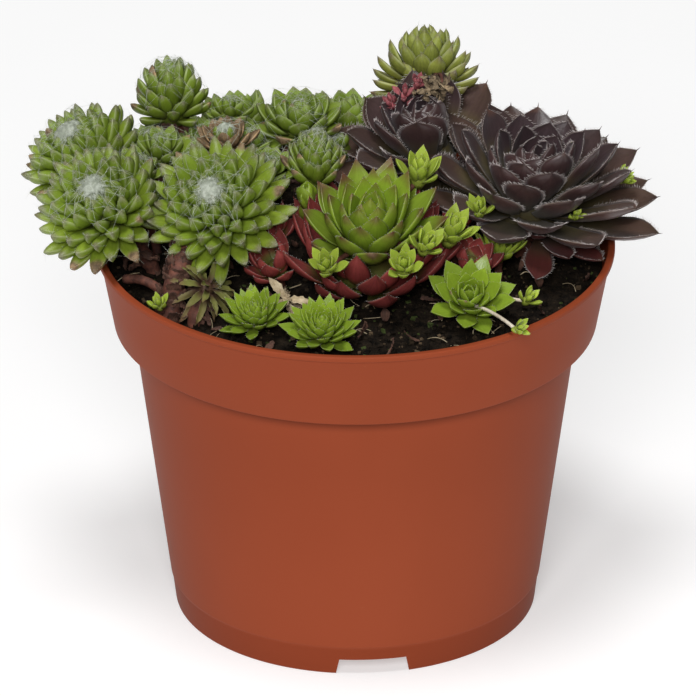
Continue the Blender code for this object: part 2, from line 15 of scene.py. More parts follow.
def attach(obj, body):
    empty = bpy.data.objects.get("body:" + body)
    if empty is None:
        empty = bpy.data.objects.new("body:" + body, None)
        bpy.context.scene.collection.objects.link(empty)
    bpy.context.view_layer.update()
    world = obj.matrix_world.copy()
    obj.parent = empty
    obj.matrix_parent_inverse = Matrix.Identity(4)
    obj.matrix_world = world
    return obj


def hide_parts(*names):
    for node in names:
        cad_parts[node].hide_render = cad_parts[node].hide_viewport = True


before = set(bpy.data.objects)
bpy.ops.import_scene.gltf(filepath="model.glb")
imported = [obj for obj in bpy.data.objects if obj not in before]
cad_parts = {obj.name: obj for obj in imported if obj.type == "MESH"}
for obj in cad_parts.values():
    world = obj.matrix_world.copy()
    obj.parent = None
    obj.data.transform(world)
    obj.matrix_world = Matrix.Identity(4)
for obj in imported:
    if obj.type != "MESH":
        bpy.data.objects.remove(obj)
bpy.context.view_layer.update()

MM = 0.001
GAP = 0.3
GOLDEN_ANGLE = math.radians(137.508)
UP = np.array([0.0, 0.0, 1.0])

# ---- the pot and the soil, as in the frame

RIM_RADIUS = 60.0
POT_HEIGHT = 90.7
LIP_HEIGHT = 1.4
LIP_WIDTH = 1.6
BAND_TOP_RADIUS = 59.2
BAND_BOTTOM_RADIUS = 55.9
BAND_BOTTOM = 71.5
BODY_TOP_RADIUS = 51.6
FOOT_LINE_RADIUS = 43.06
FOOT_LINE = 7.46
FOOT_RADIUS = 41.9
FOOT_WIDTH = 1.5
FOOT_TAPER = 0.6
WALL = 1.1
FLOOR_BOTTOM = 6.0
FLOOR_TOP = 7.2
NOTCH_COUNT = 3
NOTCH_ANGLE = math.radians(-84.5)
NOTCH_BOTTOM_WIDTH = 17.0
NOTCH_TOP_WIDTH = 15.5
NOTCH_HEIGHT = 3.9
DRAIN_RING_RADIUS = 26.0
DRAIN_RADIUS = 3.5
DRAIN_COUNT = 6
SOIL_LEVEL = 84.6
SOIL_EDGE_RADIUS = 57.2
MOUND_CENTRE = (-16.0, 23.0)
MOUND_HEIGHT = 14.0
MOUND_SPREAD = 19.0
STEM_DEPTH = 5.0
STEM_RISE = 1.5

# ---- the finer form

SOIL_EDGE = 57.0
SOIL_SIDES = 120
SOIL_RINGS = 46
SOIL_SEED = 5
CRUMBS = 7200
CRUMB_REACH = 56.2
FIBRES = 110
FIBRE_REACH = 53
FIBRE_END = 56
LITTER = 70
LITTER_REACH = 54
LITTER_LIFT = 0.6
DRY_SEED = 77
HEAD_SEED = 1000
FILLER_SEED = 3000
FILLER_PLAN_SEED = 5000
LEAF_SUNK = 1.1
LEAF_ABOVE = 0.2
LEAF_BELOW = 0.8
RUNNER_ARCH = 4.0
WOOL_RADIUS = 0.038
FELT_THREAD_RADIUS = 0.036
FELT_THICKNESS = 0.35
FELT_SIDES = 40
FELT_FROM = 200
POT_SIDES = 144
POT_RING_SPACING = 6
CORNER_RADIUS = 0.35
CORNER_STEPS = 4
CUTTER_MARGIN = 4.0
NOTCH_FROM = 36
NOTCH_TO = 46
AXIS_RADIUS = 0.02
DRAIN_SIDES = 24
SHARP_ANGLE = math.radians(38)

# ---- the photo's camera (metres), lights (place, size, power) and studio floor (millimetres)

CAMERA_PLACE = (-0.00172, -2.8803, 1.5)
CAMERA_PITCH = math.radians(63.49)
CAMERA_LENS = 718.0
AIM = (0, 0, 0.08)
LIGHTS = {"key": ((-0.2, -2.7, 1.85), 1.1, 66.0), "top": ((-0.2, -0.6, 2.7), 0.9, 42.0)}
WORLD_LIGHT = 0.05
FLOOR_GLOW = 0.47
STUDIO_RADIUS = 2400.0
STUDIO_DEPTH = 6.0
STUDIO_GAP = 0.02


def soil_height(x, y):
    """Level of the loose soil surface, for numbers or arrays."""
    waves = 0.8 * np.sin(0.13 * x + 1.1) * np.cos(0.11 * y) + 0.5 * np.sin(0.29 * x - 0.21 * y)
    away = np.hypot(x - MOUND_CENTRE[0], y - MOUND_CENTRE[1]) / MOUND_SPREAD
    edge = np.maximum(0.0, 1 - (np.hypot(x, y) / SOIL_EDGE_RADIUS) ** 4)
    return SOIL_LEVEL + waves + MOUND_HEIGHT * np.exp(-away * away / 2) * edge


# ---- meshes


class Heap:
    """Points, faces and per-point data of one piece, gathered from many small shapes."""

    def __init__(self):
        self.points, self.quads, self.tris, self.leaf, self.life = [], [], [], [], []
        self.count = 0

    def add(self, points, quads=(), tris=(), leaf=(0, 0, 0), life=(0, 0, 0)):
        points = np.asarray(points, float).reshape(-1, 3)
        self.points.append(points)
        for store, faces, corners in ((self.quads, quads, 4), (self.tris, tris, 3)):
            if len(faces):
                store.append(np.asarray(faces, int).reshape(-1, corners) + self.count)
        for store, value in ((self.leaf, leaf), (self.life, life)):
            store.append(np.broadcast_to(np.asarray(value, float), points.shape))
        self.count += len(points)

    def build(self, name, material, smooth=True):
        mesh = bpy.data.meshes.new(name)
        quads = np.concatenate(self.quads) if self.quads else np.zeros((0, 4), int)
        tris = np.concatenate(self.tris) if self.tris else np.zeros((0, 3), int)
        mesh.vertices.add(self.count)
        mesh.vertices.foreach_set("co", (np.concatenate(self.points) * MM).ravel())
        mesh.loops.add(quads.size + tris.size)
        mesh.loops.foreach_set("vertex_index", np.concatenate([quads.ravel(), tris.ravel()]))
        mesh.polygons.add(len(quads) + len(tris))
        starts = np.concatenate([np.arange(len(quads)) * 4, quads.size + np.arange(len(tris)) * 3])
        mesh.polygons.foreach_set("loop_start", starts)
        mesh.polygons.foreach_set("use_smooth", np.full(len(starts), smooth))
        mesh.update(calc_edges=True)
        for attribute, store in (("leaf", self.leaf), ("life", self.life)):
            made = mesh.attributes.new(attribute, "FLOAT_VECTOR", "POINT")
            made.data.foreach_set("vector", np.concatenate(store).ravel())
        mesh.validate()
        mesh.materials.append(material)
        obj = bpy.data.objects.new(name, mesh)
        bpy.context.scene.collection.objects.link(obj)
        return obj


def declare(obj, slot, *nodes):
    """Rides a finished piece on the part's only body and hides the frame's nodes that it replaces."""
    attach(obj, "root")
    if nodes:
        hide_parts(*nodes)


def unit(vectors, least=1e-9):
    return vectors / (np.linalg.norm(vectors, axis=-1, keepdims=True) + least)


def around(sides):
    return 2 * np.pi * np.arange(sides) / sides


def circle(radius, height, angle):
    return np.stack(np.broadcast_arrays(radius * np.cos(angle), radius * np.sin(angle), height), -1)


def ring_quads(rings, sides):
    """Quads between rings of points that follow each other."""
    i = np.arange(sides)[None, :]
    j = (i + 1) % sides
    ring = np.arange(rings - 1)[:, None] * sides
    return np.stack([ring + i, ring + j, ring + sides + j, ring + sides + i], -1).reshape(-1, 4)


def fan(sides):
    """Triangles that close the first ring."""
    return np.array([(0, k + 1, k) for k in range(1, sides - 1)])


def cone(rings, sides):
    """Triangles from the last ring to the point after it."""
    last = (rings - 1) * sides
    return np.array([(last + k, last + (k + 1) % sides, last + sides) for k in range(sides)])


def catmull(table, at):
    """Smooth curve through (place, value) points, read at the places given."""
    xs, ys = np.array(table, float).T
    slopes = np.gradient(ys, xs)
    i = np.clip(np.searchsorted(xs, at) - 1, 0, len(xs) - 2)
    span = xs[i + 1] - xs[i]
    t = np.clip((at - xs[i]) / span, 0, 1)
    h00, h10 = 2 * t**3 - 3 * t**2 + 1, t**3 - 2 * t**2 + t
    h01, h11 = -2 * t**3 + 3 * t**2, t**3 - t**2
    return h00 * ys[i] + h10 * span * slopes[i] + h01 * ys[i + 1] + h11 * span * slopes[i + 1]


def tubes(heap, paths, radii, sides=3, life=(0, 0, 0)):
    """Adds closed round tubes: paths is (tubes, points, 3), radii (tubes, points) or one number."""
    paths = np.asarray(paths, float)
    number, steps, _ = paths.shape
    if number == 0:
        return
    radii = np.broadcast_to(np.asarray(radii, float), (number, steps))
    along = unit(np.gradient(paths, axis=1))
    helper = np.where(np.abs(along[:, 0, 2:]) < 0.8, [[0.0, 0.0, 1.0]], [[1.0, 0.0, 0.0]])
    first = unit(np.cross(helper[:, None, :], along))
    second = np.cross(along, first)
    angle = around(sides)[:, None]
    ring = first[:, :, None] * np.cos(angle) + second[:, :, None] * np.sin(angle)
    points = paths[:, :, None] + ring * radii[:, :, None, None]
    base = np.arange(number)[:, None, None] * steps * sides
    quads = base + ring_quads(steps, sides)
    low, high = base + fan(sides), base + (steps - 1) * sides + fan(sides)[:, ::-1]
    share = np.broadcast_to(np.linspace(0, 1, steps)[:, None], (number, steps, sides))
    leaf = np.stack([share, np.zeros_like(share), np.ones_like(share)], -1).reshape(-1, 3)
    heap.add(points, quads, np.concatenate([low.reshape(-1, 3), high.reshape(-1, 3)]), leaf, life)


def to_world(matrix, points):
    m = np.array(matrix)
    return np.asarray(points) @ m[:3, :3].T + m[:3, 3]


def spun(heap, profile, matrix=None, sides=16, life=(0, 0, 0)):
    """Adds a body turned about Z from (radius, height) points, both ends near the axis."""
    points = np.concatenate([circle(r, z, around(sides)) for r, z in profile])
    if matrix is not None:
        points = to_world(matrix, points)
    tris = np.concatenate([fan(sides), fan(sides)[:, ::-1] + (len(profile) - 1) * sides])
    heap.add(points, ring_quads(len(profile), sides), tris, (0.2, 0, 1), life)


def smooth_path(points, steps):
    table = np.array([tuple(p) for p in points])
    at, knots = np.linspace(0, len(table) - 1, steps), np.arange(len(table))
    return np.stack([catmull(np.stack([knots, table[:, k]], -1), at) for k in range(3)], -1)


# ---- materials


class Graph:
    """Short names for making shader nodes."""

    def __init__(self, name):
        self.material = bpy.data.materials.new(name)
        self.material.use_nodes = True
        self.tree = self.material.node_tree
        self.shader = self.tree.nodes["Principled BSDF"]

    def node(self, kind, inputs=(), **settings):
        made = self.tree.nodes.new(kind)
        for key, value in settings.items():
            setattr(made, key, value)
        self.put(made, dict(inputs))
        return made

    def put(self, node, inputs):
        for key, value in inputs.items():
            socket = node.inputs[key]
            if isinstance(value, bpy.types.NodeSocket):
                self.tree.links.new(value, socket)
            elif socket.type == "RGBA":
                socket.default_value = (*value, 1.0)
            else:
                socket.default_value = value

    def math(self, operation, *values):
        return self.node("ShaderNodeMath", enumerate(values), operation=operation).outputs[0]

    def times(self, a, b):
        return self.math("MULTIPLY", a, b)

    def plus(self, a, b):
        return self.math("ADD", a, b)

    def fused(self, a, b, c):
        """a times b, plus c."""
        return self.math("MULTIPLY_ADD", a, b, c)

    def step(self, value, low, high, out_low=0.0, out_high=1.0):
        """Smooth step from out_low to out_high as value goes from low to high."""
        values = enumerate((value, low, high, out_low, out_high))
        return self.node("ShaderNodeMapRange", values, interpolation_type="SMOOTHSTEP").outputs[0]

    def mix(self, a, b, factor, blend="MIX"):
        return self.node("ShaderNodeMix", {0: factor, 6: a, 7: b}, data_type="RGBA", blend_type=blend).outputs[2]

    def dim(self, colour, share):
        return self.mix(colour, self.combine(share, share, share), 1.0, "MULTIPLY")

    def split(self, attribute):
        found = self.node("ShaderNodeAttribute", attribute_name=attribute)
        return self.node("ShaderNodeSeparateXYZ", {0: found.outputs["Vector"]}).outputs

    def where(self):
        return self.node("ShaderNodeTexCoord").outputs["Object"]

    def noise(self, scale, detail=2.0, vector=None, rough=0.5):
        values = {"Vector": vector or self.where(), "Scale": scale, "Detail": detail, "Roughness": rough}
        return self.node("ShaderNodeTexNoise", values).outputs["Fac"]

    def combine(self, x, y, z):
        return self.node("ShaderNodeCombineXYZ", enumerate((x, y, z))).outputs[0]

    def finish(self, colour, roughness, height=None, strength=0.2, distance=0.2, **more):
        """Sets the shader's colour, roughness and bump, and more inputs, named with _ for a space."""
        if height is not None:
            values = {"Strength": strength, "Distance": distance * MM, "Height": height}
            more["Normal"] = self.node("ShaderNodeBump", values).outputs[0]
        self.put(self.shader, {"Base Color": colour, "Roughness": roughness})
        self.put(self.shader, {key.replace("_", " "): value for key, value in more.items()})
        return self.material


def leaf_material(
    name, young, old, root, tip, edge, back,
    tip_from=0.8, tip_amount=0.8, edge_from=0.86, edge_amount=0.5, root_to=0.4, back_amount=0.6,
    mottle=0.25, roughness=0.42, flesh=0.12, frost=0.0, sheen=0.0, gloss=0.28, shaded=0.45,
    dry=(0.30, 0.20, 0.11),
):
    """A fleshy leaf: colour from root to tip, at the edge and on the back, changing with the leaf's age.

    frost is how much grey wool covers the tip. life.z turns a leaf dry. shaded is how dark the painted shade at the
    leaf's root gets, and the underside gets painted shade too.
    """
    g = Graph(name)
    along, across, face = g.split("leaf")
    age, chance, dead = g.split("life")
    broad, fine = g.noise(160, 3), g.noise(1100, 4, rough=0.65)
    lines = g.noise(1.0, 3, g.combine(g.times(across, 9.0), g.times(along, 1.6), g.times(chance, 40.0)))
    wobble = g.fused(g.plus(broad, -0.5), 0.3, along)
    colour = g.mix(old, young, g.step(age, 0.05, 0.75))
    colour = g.mix(colour, back, g.times(g.step(face, 0.25, -0.35), back_amount))
    colour = g.mix(root, colour, g.step(wobble, root_to - 0.35, root_to + 0.1))
    tips = g.times(g.step(wobble, tip_from, 1.02), g.step(age, 1.1, 0.2, tip_amount * 0.45, tip_amount))
    colour = g.mix(colour, tip, tips)
    rim = g.step(g.math("ABSOLUTE", across), edge_from, 1.0)
    colour = g.mix(colour, edge, g.times(rim, edge_amount))
    shade = g.plus(g.times(g.plus(fine, -0.5), mottle), g.times(g.plus(lines, -0.5), mottle * 1.2))
    shade = g.plus(shade, g.fused(chance, 0.30, 0.87))
    # painted shade: the leaf darkens towards its root, as in the shadowed gaps between leaves
    shade = g.times(shade, g.step(along, 0.05, 0.55, shaded, 1.0))
    # painted shade: the underside of the leaf is dimmed, as if less light reaches it from below
    colour = g.dim(colour, g.times(shade, g.step(face, 0.3, -0.5, 1.0, 0.82)))
    if frost:
        hair = g.plus(g.noise(2600, 3, rough=0.7), -0.5)
        cover = g.times(g.step(g.fused(hair, 0.7, along), 0.80, 1.02), frost)
        side = g.times(g.times(rim, g.step(along, 0.5, 0.85)), frost)
        colour = g.mix(colour, (0.47, 0.50, 0.36), g.math("MAXIMUM", cover, side))
    crisp = g.noise(420, 5, rough=0.7)
    dark, pale = (tuple(min(1.0, c * share) for c in dry) for share in (0.35, 1.9))
    husk = g.mix(dark, dry, g.step(crisp, 0.34, 0.62))
    husk = g.mix(husk, pale, g.step(g.plus(crisp, g.times(rim, 0.2)), 0.62, 0.8))
    gone = g.step(g.plus(wobble, g.times(dead, 1.6)), 1.05, 1.2)
    dead = g.times(gone, g.step(dead, 0.0, 0.1))
    height = g.plus(g.times(lines, 0.6), g.times(fine, 0.5))
    height = g.plus(height, g.times(g.times(crisp, dead), 3.0))
    rough = g.plus(g.fused(fine, 0.2, roughness - 0.1), g.times(dead, 0.3))
    return g.finish(
        g.mix(colour, husk, dead), rough, height, 0.35, 0.25, Specular_IOR_Level=gloss,
        Subsurface_Weight=flesh, Subsurface_Radius=(0.7, 1.0, 0.25), Subsurface_Scale=1.6 * MM,
        Sheen_Weight=sheen, Sheen_Roughness=0.45, Sheen_Tint=(0.85, 0.8, 0.85),
    )


def wool_material():
    g = Graph("wool")
    along, _, _ = g.split("leaf")
    fine = g.noise(900, 3)
    colour = g.mix((0.42, 0.46, 0.37), (0.66, 0.70, 0.61), g.step(fine, 0.35, 0.65))
    colour = g.mix(colour, (0.42, 0.46, 0.34), g.step(along, 0.2, 0.0))
    return g.finish(colour, g.fused(fine, 0.2, 0.5))


def cilia_material():
    g = Graph("leaf hair")
    along, _, _ = g.split("leaf")
    chance = g.noise(500, 2)
    colour = g.mix((0.30, 0.22, 0.22), (0.78, 0.74, 0.72), g.step(along, 0.0, 0.5))
    colour = g.mix(colour, (0.60, 0.50, 0.46), g.times(chance, 0.5))
    return g.finish(colour, g.fused(chance, 0.2, 0.4))


def plastic_material():
    """Plastic with faint flow streaks and dust, darker on the foot, with painted shade on the body just under the rim
    band.
    """
    g = Graph("terracotta plastic")
    broad = g.noise(14, 3)
    streak = g.noise(30, 3, g.node("ShaderNodeMapping", {0: g.where(), 3: (1.0, 1.0, 0.12)}).outputs[0])
    grain = g.noise(1800, 3, rough=0.6)
    dust = g.noise(260, 6, rough=0.75)
    colour = g.mix((0.278, 0.054, 0.020), (0.300, 0.060, 0.023), g.step(broad, 0.3, 0.7))
    colour = g.mix(colour, (0.264, 0.052, 0.019), g.step(streak, 0.45, 0.75, 0.0, 0.6))
    colour = g.mix(colour, (0.46, 0.16, 0.085), g.step(dust, 0.66, 0.80, 0.0, 0.35))
    x, y, z = g.node("ShaderNodeSeparateXYZ", {0: g.where()}).outputs
    out = g.math("SQRT", g.plus(g.times(x, x), g.times(y, y)))
    foot = g.step(z, (FOOT_LINE - 1.2) * MM, (FOOT_LINE + 0.2) * MM)
    colour = g.mix((0.242, 0.044, 0.015), colour, foot)
    # painted shade: a dark ring on the body just under the rim band, where the band's shadow falls
    under = g.step(z, (BAND_BOTTOM - 5.0) * MM, BAND_BOTTOM * MM)
    inner = g.step(out, (BAND_BOTTOM_RADIUS - 1.4) * MM, (BODY_TOP_RADIUS + 1.0) * MM)
    colour = g.mix(colour, (0.12, 0.024, 0.010), g.times(g.times(under, inner), 0.8))
    rough = g.plus(g.fused(broad, 0.1, 0.5), g.times(g.step(dust, 0.6, 0.8), 0.12))
    height = g.plus(g.times(grain, 0.4), streak)
    return g.finish(colour, rough, height, 0.10, 0.15, Specular_IOR_Level=0.08)


def soil_material():
    g = Graph("peat")
    _, chance, moss = g.split("life")
    coarse, fine = g.noise(420, 5, rough=0.7), g.noise(2200, 4, rough=0.7)
    colour = g.mix((0.0030, 0.0022, 0.0016), (0.022, 0.015, 0.009), g.step(coarse, 0.35, 0.7))
    colour = g.mix(colour, (0.085, 0.055, 0.032), g.times(g.step(fine, 0.55, 0.75), 0.5))
    colour = g.mix(colour, (0.16, 0.11, 0.065), g.times(g.step(chance, 0.86, 0.99), 0.7))
    colour = g.mix(colour, (0.055, 0.075, 0.02), g.times(moss, 0.9))
    height = g.plus(coarse, g.times(fine, 0.5))
    return g.finish(colour, g.fused(fine, -0.35, 0.95), height, 0.9, 0.8, Specular_IOR_Level=0.12)


def husk_material(name, dark, pale, scale=500):
    """Dry skin with lines along it."""
    g = Graph(name)
    along, across, _ = g.split("leaf")
    _, chance, _ = g.split("life")
    spread = g.combine(g.times(across, 7.0), g.times(along, 2.0), g.times(chance, 30.0))
    lines, patches = g.noise(1.0, 4, spread, 0.7), g.noise(scale, 5, rough=0.7)
    colour = g.mix(dark, pale, g.step(g.fused(lines, 0.5, g.times(patches, 0.6)), 0.35, 0.75))
    height = g.plus(lines, g.times(patches, 0.8))
    return g.finish(g.dim(colour, g.fused(chance, 0.6, 0.7)), g.fused(patches, 0.25, 0.6), height, 0.7, 0.5)


WEBBED = leaf_material(
    "webbed leaf", young=(0.178, 0.262, 0.024), old=(0.195, 0.265, 0.024), root=(0.33, 0.42, 0.06),
    tip=(0.10, 0.075, 0.035), edge=(0.42, 0.47, 0.20), back=(0.195, 0.278, 0.024),
    tip_from=0.82, tip_amount=0.95, edge_amount=0.30, frost=0.22, mottle=0.40, roughness=0.38, shaded=0.18,
    flesh=0.06, gloss=0.42,
)
GREEN = leaf_material(
    "green leaf", young=(0.18, 0.26, 0.030), old=(0.17, 0.235, 0.026), root=(0.28, 0.36, 0.05),
    tip=(0.12, 0.10, 0.04), edge=(0.34, 0.40, 0.16), back=(0.19, 0.27, 0.028),
    tip_from=0.88, tip_amount=0.8, edge_amount=0.45, frost=0.18, mottle=0.38, roughness=0.45, shaded=0.22,
    flesh=0.06,
)
CENTRAL_LEAF = leaf_material(
    "crown leaf", young=(0.26, 0.38, 0.030), old=(0.20, 0.28, 0.028), root=(0.36, 0.47, 0.05),
    tip=(0.13, 0.035, 0.035), edge=(0.48, 0.56, 0.20), back=(0.25, 0.35, 0.030),
    tip_from=0.74, tip_amount=1.0, edge_from=0.93, edge_amount=0.3, mottle=0.36, roughness=0.32, shaded=0.28,
    flesh=0.08, gloss=0.42,
)
RED = leaf_material(
    "red leaf", young=(0.26, 0.050, 0.045), old=(0.19, 0.040, 0.036), root=(0.17, 0.19, 0.04),
    tip=(0.12, 0.025, 0.025), edge=(0.40, 0.19, 0.16), back=(0.32, 0.058, 0.052),
    tip_from=0.85, tip_amount=0.6, edge_from=0.92, edge_amount=0.5, root_to=0.45, back_amount=0.7,
    mottle=0.6, roughness=0.45, flesh=0.06, dry=(0.26, 0.12, 0.08),
)
FRESH_LEAF = leaf_material(
    "fresh leaf", young=(0.27, 0.385, 0.028), old=(0.19, 0.28, 0.024), root=(0.36, 0.47, 0.05),
    tip=(0.30, 0.38, 0.09), edge=(0.46, 0.54, 0.18), back=(0.25, 0.36, 0.035),
    tip_from=0.9, tip_amount=0.4, edge_from=0.9, edge_amount=0.25, mottle=0.30, roughness=0.32, flesh=0.10,
    shaded=0.3, gloss=0.42,
)
BUD_LEAF = leaf_material(
    "offset leaf", young=(0.40, 0.50, 0.065), old=(0.33, 0.43, 0.050), root=(0.44, 0.54, 0.08),
    tip=(0.32, 0.34, 0.09), edge=(0.52, 0.60, 0.20), back=(0.37, 0.49, 0.05),
    tip_from=0.88, tip_amount=0.5, edge_from=0.9, edge_amount=0.25, mottle=0.24, roughness=0.4, flesh=0.2,
)
DARK = leaf_material(
    "dark leaf", young=(0.052, 0.032, 0.036), old=(0.074, 0.043, 0.030), root=(0.105, 0.085, 0.036),
    tip=(0.03, 0.016, 0.014), edge=(0.34, 0.27, 0.23), back=(0.072, 0.034, 0.030),
    tip_from=0.85, tip_amount=0.6, edge_from=0.955, edge_amount=0.75, root_to=0.6, back_amount=0.6,
    mottle=0.5, roughness=0.35, flesh=0.03, sheen=0.08, gloss=0.55, dry=(0.16, 0.07, 0.045),
)
MAROON = leaf_material(
    "maroon leaf", young=(0.085, 0.024, 0.022), old=(0.105, 0.026, 0.022), root=(0.09, 0.05, 0.03),
    tip=(0.05, 0.014, 0.012), edge=(0.34, 0.20, 0.17), back=(0.10, 0.028, 0.025),
    tip_from=0.85, tip_amount=0.6, edge_from=0.95, edge_amount=0.6, root_to=0.5, back_amount=0.6,
    mottle=0.5, roughness=0.42, flesh=0.03, sheen=0.04, gloss=0.4, dry=(0.16, 0.07, 0.045),
)
DOME_LEAF = leaf_material(
    "dome leaf", young=(0.25, 0.30, 0.050), old=(0.33, 0.32, 0.07), root=(0.40, 0.40, 0.09),
    tip=(0.12, 0.06, 0.035), edge=(0.44, 0.45, 0.24), back=(0.28, 0.31, 0.055),
    tip_from=0.80, tip_amount=0.95, edge_amount=0.45, frost=0.16, mottle=0.7, roughness=0.46, shaded=0.22,
    flesh=0.06,
)
FADED = leaf_material(
    "faded leaf", young=(0.17, 0.175, 0.045), old=(0.16, 0.12, 0.045), root=(0.12, 0.05, 0.035),
    tip=(0.14, 0.06, 0.035), edge=(0.36, 0.32, 0.18), back=(0.18, 0.13, 0.05),
    tip_from=0.7, tip_amount=0.9, mottle=0.6, roughness=0.6, flesh=0.05, dry=(0.24, 0.13, 0.08),
)
WOOL = wool_material()
HAIR = cilia_material()
PLASTIC = plastic_material()
PEAT = soil_material()
HUSK = husk_material("dry leaf", (0.026, 0.011, 0.008), (0.19, 0.088, 0.056))
STRAW = husk_material("straw", (0.30, 0.22, 0.12), (0.62, 0.52, 0.35))
TAN = husk_material("tan scrap", (0.13, 0.085, 0.045), (0.44, 0.33, 0.20))
STALK = husk_material("stem", (0.035, 0.012, 0.009), (0.18, 0.060, 0.036), 700)
ROOT = husk_material("white root", (0.45, 0.36, 0.26), (0.78, 0.72, 0.60), 700)
BUD_RED = husk_material("red bud", (0.22, 0.035, 0.05), (0.52, 0.16, 0.17), 600)

# ---- leaf shapes: outline is (share of the length, share of the half width), body the same for thickness

ROUND_BODY = ((0, 0.62), (0.3, 0.86), (0.6, 1.0), (0.8, 0.84), (0.92, 0.52), (1, 0.08))
OUTLINE = {
    "boat": ((0, 0.54), (0.22, 0.80), (0.42, 0.99), (0.58, 0.95), (0.74, 0.77), (0.88, 0.50), (0.96, 0.25), (1, 0.05)),
    "scale": ((0, 0.46), (0.25, 0.72), (0.5, 1.0), (0.64, 0.96), (0.78, 0.76), (0.89, 0.46), (0.96, 0.2), (1, 0.03)),
    "ovate": ((0, 0.42), (0.3, 0.72), (0.55, 0.96), (0.69, 1.0), (0.81, 0.84), (0.9, 0.54), (0.96, 0.24), (1, 0.03)),
    "lance": ((0, 0.46), (0.25, 0.80), (0.45, 1.0), (0.62, 0.93), (0.78, 0.64), (0.9, 0.30), (1, 0.02)),
    "narrow": ((0, 0.44), (0.3, 0.80), (0.52, 1.0), (0.7, 0.88), (0.86, 0.46), (0.95, 0.18), (1, 0.02)),
    "torn": ((0, 0.5), (0.3, 0.9), (0.55, 1.0), (0.8, 0.7), (0.93, 0.4), (1, 0.1)),
}
# the same for the frame's plain leaf: (share of the length, of the width, of the thickness)
CAD_OUTLINES = {
    "spoon": ((0.0, 0.36, 0.6), (0.64, 1.0, 0.95)),
    "ovate": ((0.0, 0.34, 0.7), (0.45, 0.94, 1.0), (0.76, 0.86, 0.75)),
    "narrow": ((0.0, 0.36, 0.8), (0.56, 1.0, 0.9)),
}
# degrees that a leaf is raised by and the share of its length that it keeps, tried in turn until it is clear
TRIES = (
    (0, 1.0), (6, 1.0), (-6, 1.0), (12, 1.0), (-12, 1.0), (19, 0.95), (-19, 0.95), (6, 0.85), (-8, 0.85),
    (26, 0.85), (14, 0.75), (0, 0.72), (-14, 0.72), (34, 0.7), (20, 0.6), (5, 0.58), (-10, 0.5), (44, 0.5),
)

# How each kind of rosette sets its leaves: pitch, rise, curl, spread, inner and outline are the frame's own, and the
# keys from fine on shape the fine leaf and say what grows on it.
KINDS = {
    "cobweb": dict(pitch=(-4, 84), curl=30, spread=(-26, 82), inner=0.5, outline="spoon",
        fine="boat", material=WEBBED, top=0.30, belly=0.74, keel=0.30, cup=0.0, wool=4, fuzz=0.34),
    "cup": dict(pitch=(16, 84), curl=22, spread=(-8, 82), inner=0.6, outline="spoon",
        fine="scale", material=GREEN, top=0.14, belly=0.7, keel=0.26, cup=0.03, wool=3, fuzz=0.25),
    "dark": dict(pitch=(-4, 82), rise=1.0, curl=20, spread=(-30, 84), inner=0.42, outline="ovate",
        fine="ovate", material=DARK, top=-0.02, belly=0.8, keel=0.12, cup=0.11, cilia=0.95, spike=1.3),
    "central": dict(pitch=(28, 85), rise=0.75, curl=13, spread=(-12, 82), inner=0.62, outline="ovate",
        fine="lance", material=CENTRAL_LEAF, top=0.05, belly=0.75, keel=0.16, cup=0.07, cilia=0.25,
        spike=0.5),
    "red": dict(pitch=(10, 50), rise=1.0, curl=52, spread=(-30, 16), inner=0.8, outline="ovate",
        fine="lance", material=RED, top=0.02, belly=0.75, keel=0.2, cup=0.10, cilia=0.3, spike=0.7),
    "fresh": dict(pitch=(8, 84), rise=0.85, curl=18, spread=(-5, 82), inner=0.5, outline="narrow",
        fine="narrow", material=FRESH_LEAF, top=0.05, belly=0.75, keel=0.12, cup=0.07, cilia=0.22, spike=0.3),
    "column": dict(pitch=(48, 88), curl=10, spread=(-8, 84), inner=0.66, outline="spoon",
        fine="boat", material=WEBBED, top=0.14, belly=0.7, keel=0.26, cup=0.02, wool=5, fuzz=0.3),
    "dome": dict(pitch=(-12, 86), rise=0.95, curl=26, spread=(-40, 82), inner=0.72, outline="spoon",
        fine="lance", material=DOME_LEAF, top=0.14, belly=0.72, keel=0.26, cup=0.03, wool=1, fuzz=0.2,
        spike=0.4),
    "barrel": dict(pitch=(6, 80), rise=0.62, curl=6, spread=(-55, 66), inner=1.1, outline="spoon",
        fine="boat", material=WEBBED, top=0.14, belly=0.7, keel=0.3, cup=0.02, wool=2, fuzz=0.25),
    "withered": dict(pitch=(-45, 50), curl=-30, spread=(-30, 70), inner=0.8, outline="narrow",
        fine="torn", material=FADED, top=0.0, belly=0.5, keel=0.0, cup=0.12, warp=0.3),
    "bud": dict(pitch=(40, 86), curl=14, spread=(-10, 80), inner=0.74, outline="narrow",
        fine="narrow", material=BUD_LEAF, top=0.06, belly=0.75, keel=0.14, cup=0.07, cilia=0.15),
}


def crown(kind, centre, axis, reach, leaves, width, thick, core, turn=0.0):
    """One head of leaves: its kind's settings with its own place and sizes."""
    made = dict(KINDS[kind], kind=kind, centre=centre, axis=axis, reach=reach, leaves=leaves)
    made.update(width=width, thick=thick, core=core, turn=turn)
    return made


def bud(centre, axis, reach, leaves, turn=0.0):
    return crown("bud", centre, axis, reach, leaves, reach * 0.46, 0.95, (reach * 0.3, reach * 0.42), turn)


CENTRE = (3.0, -15.5, 97.3)
CENTRE_AXIS = (0.03, -0.27, 0.96)
RED_CENTRE = tuple(Vector(CENTRE) - 6.6 * Vector(CENTRE_AXIS).normalized())

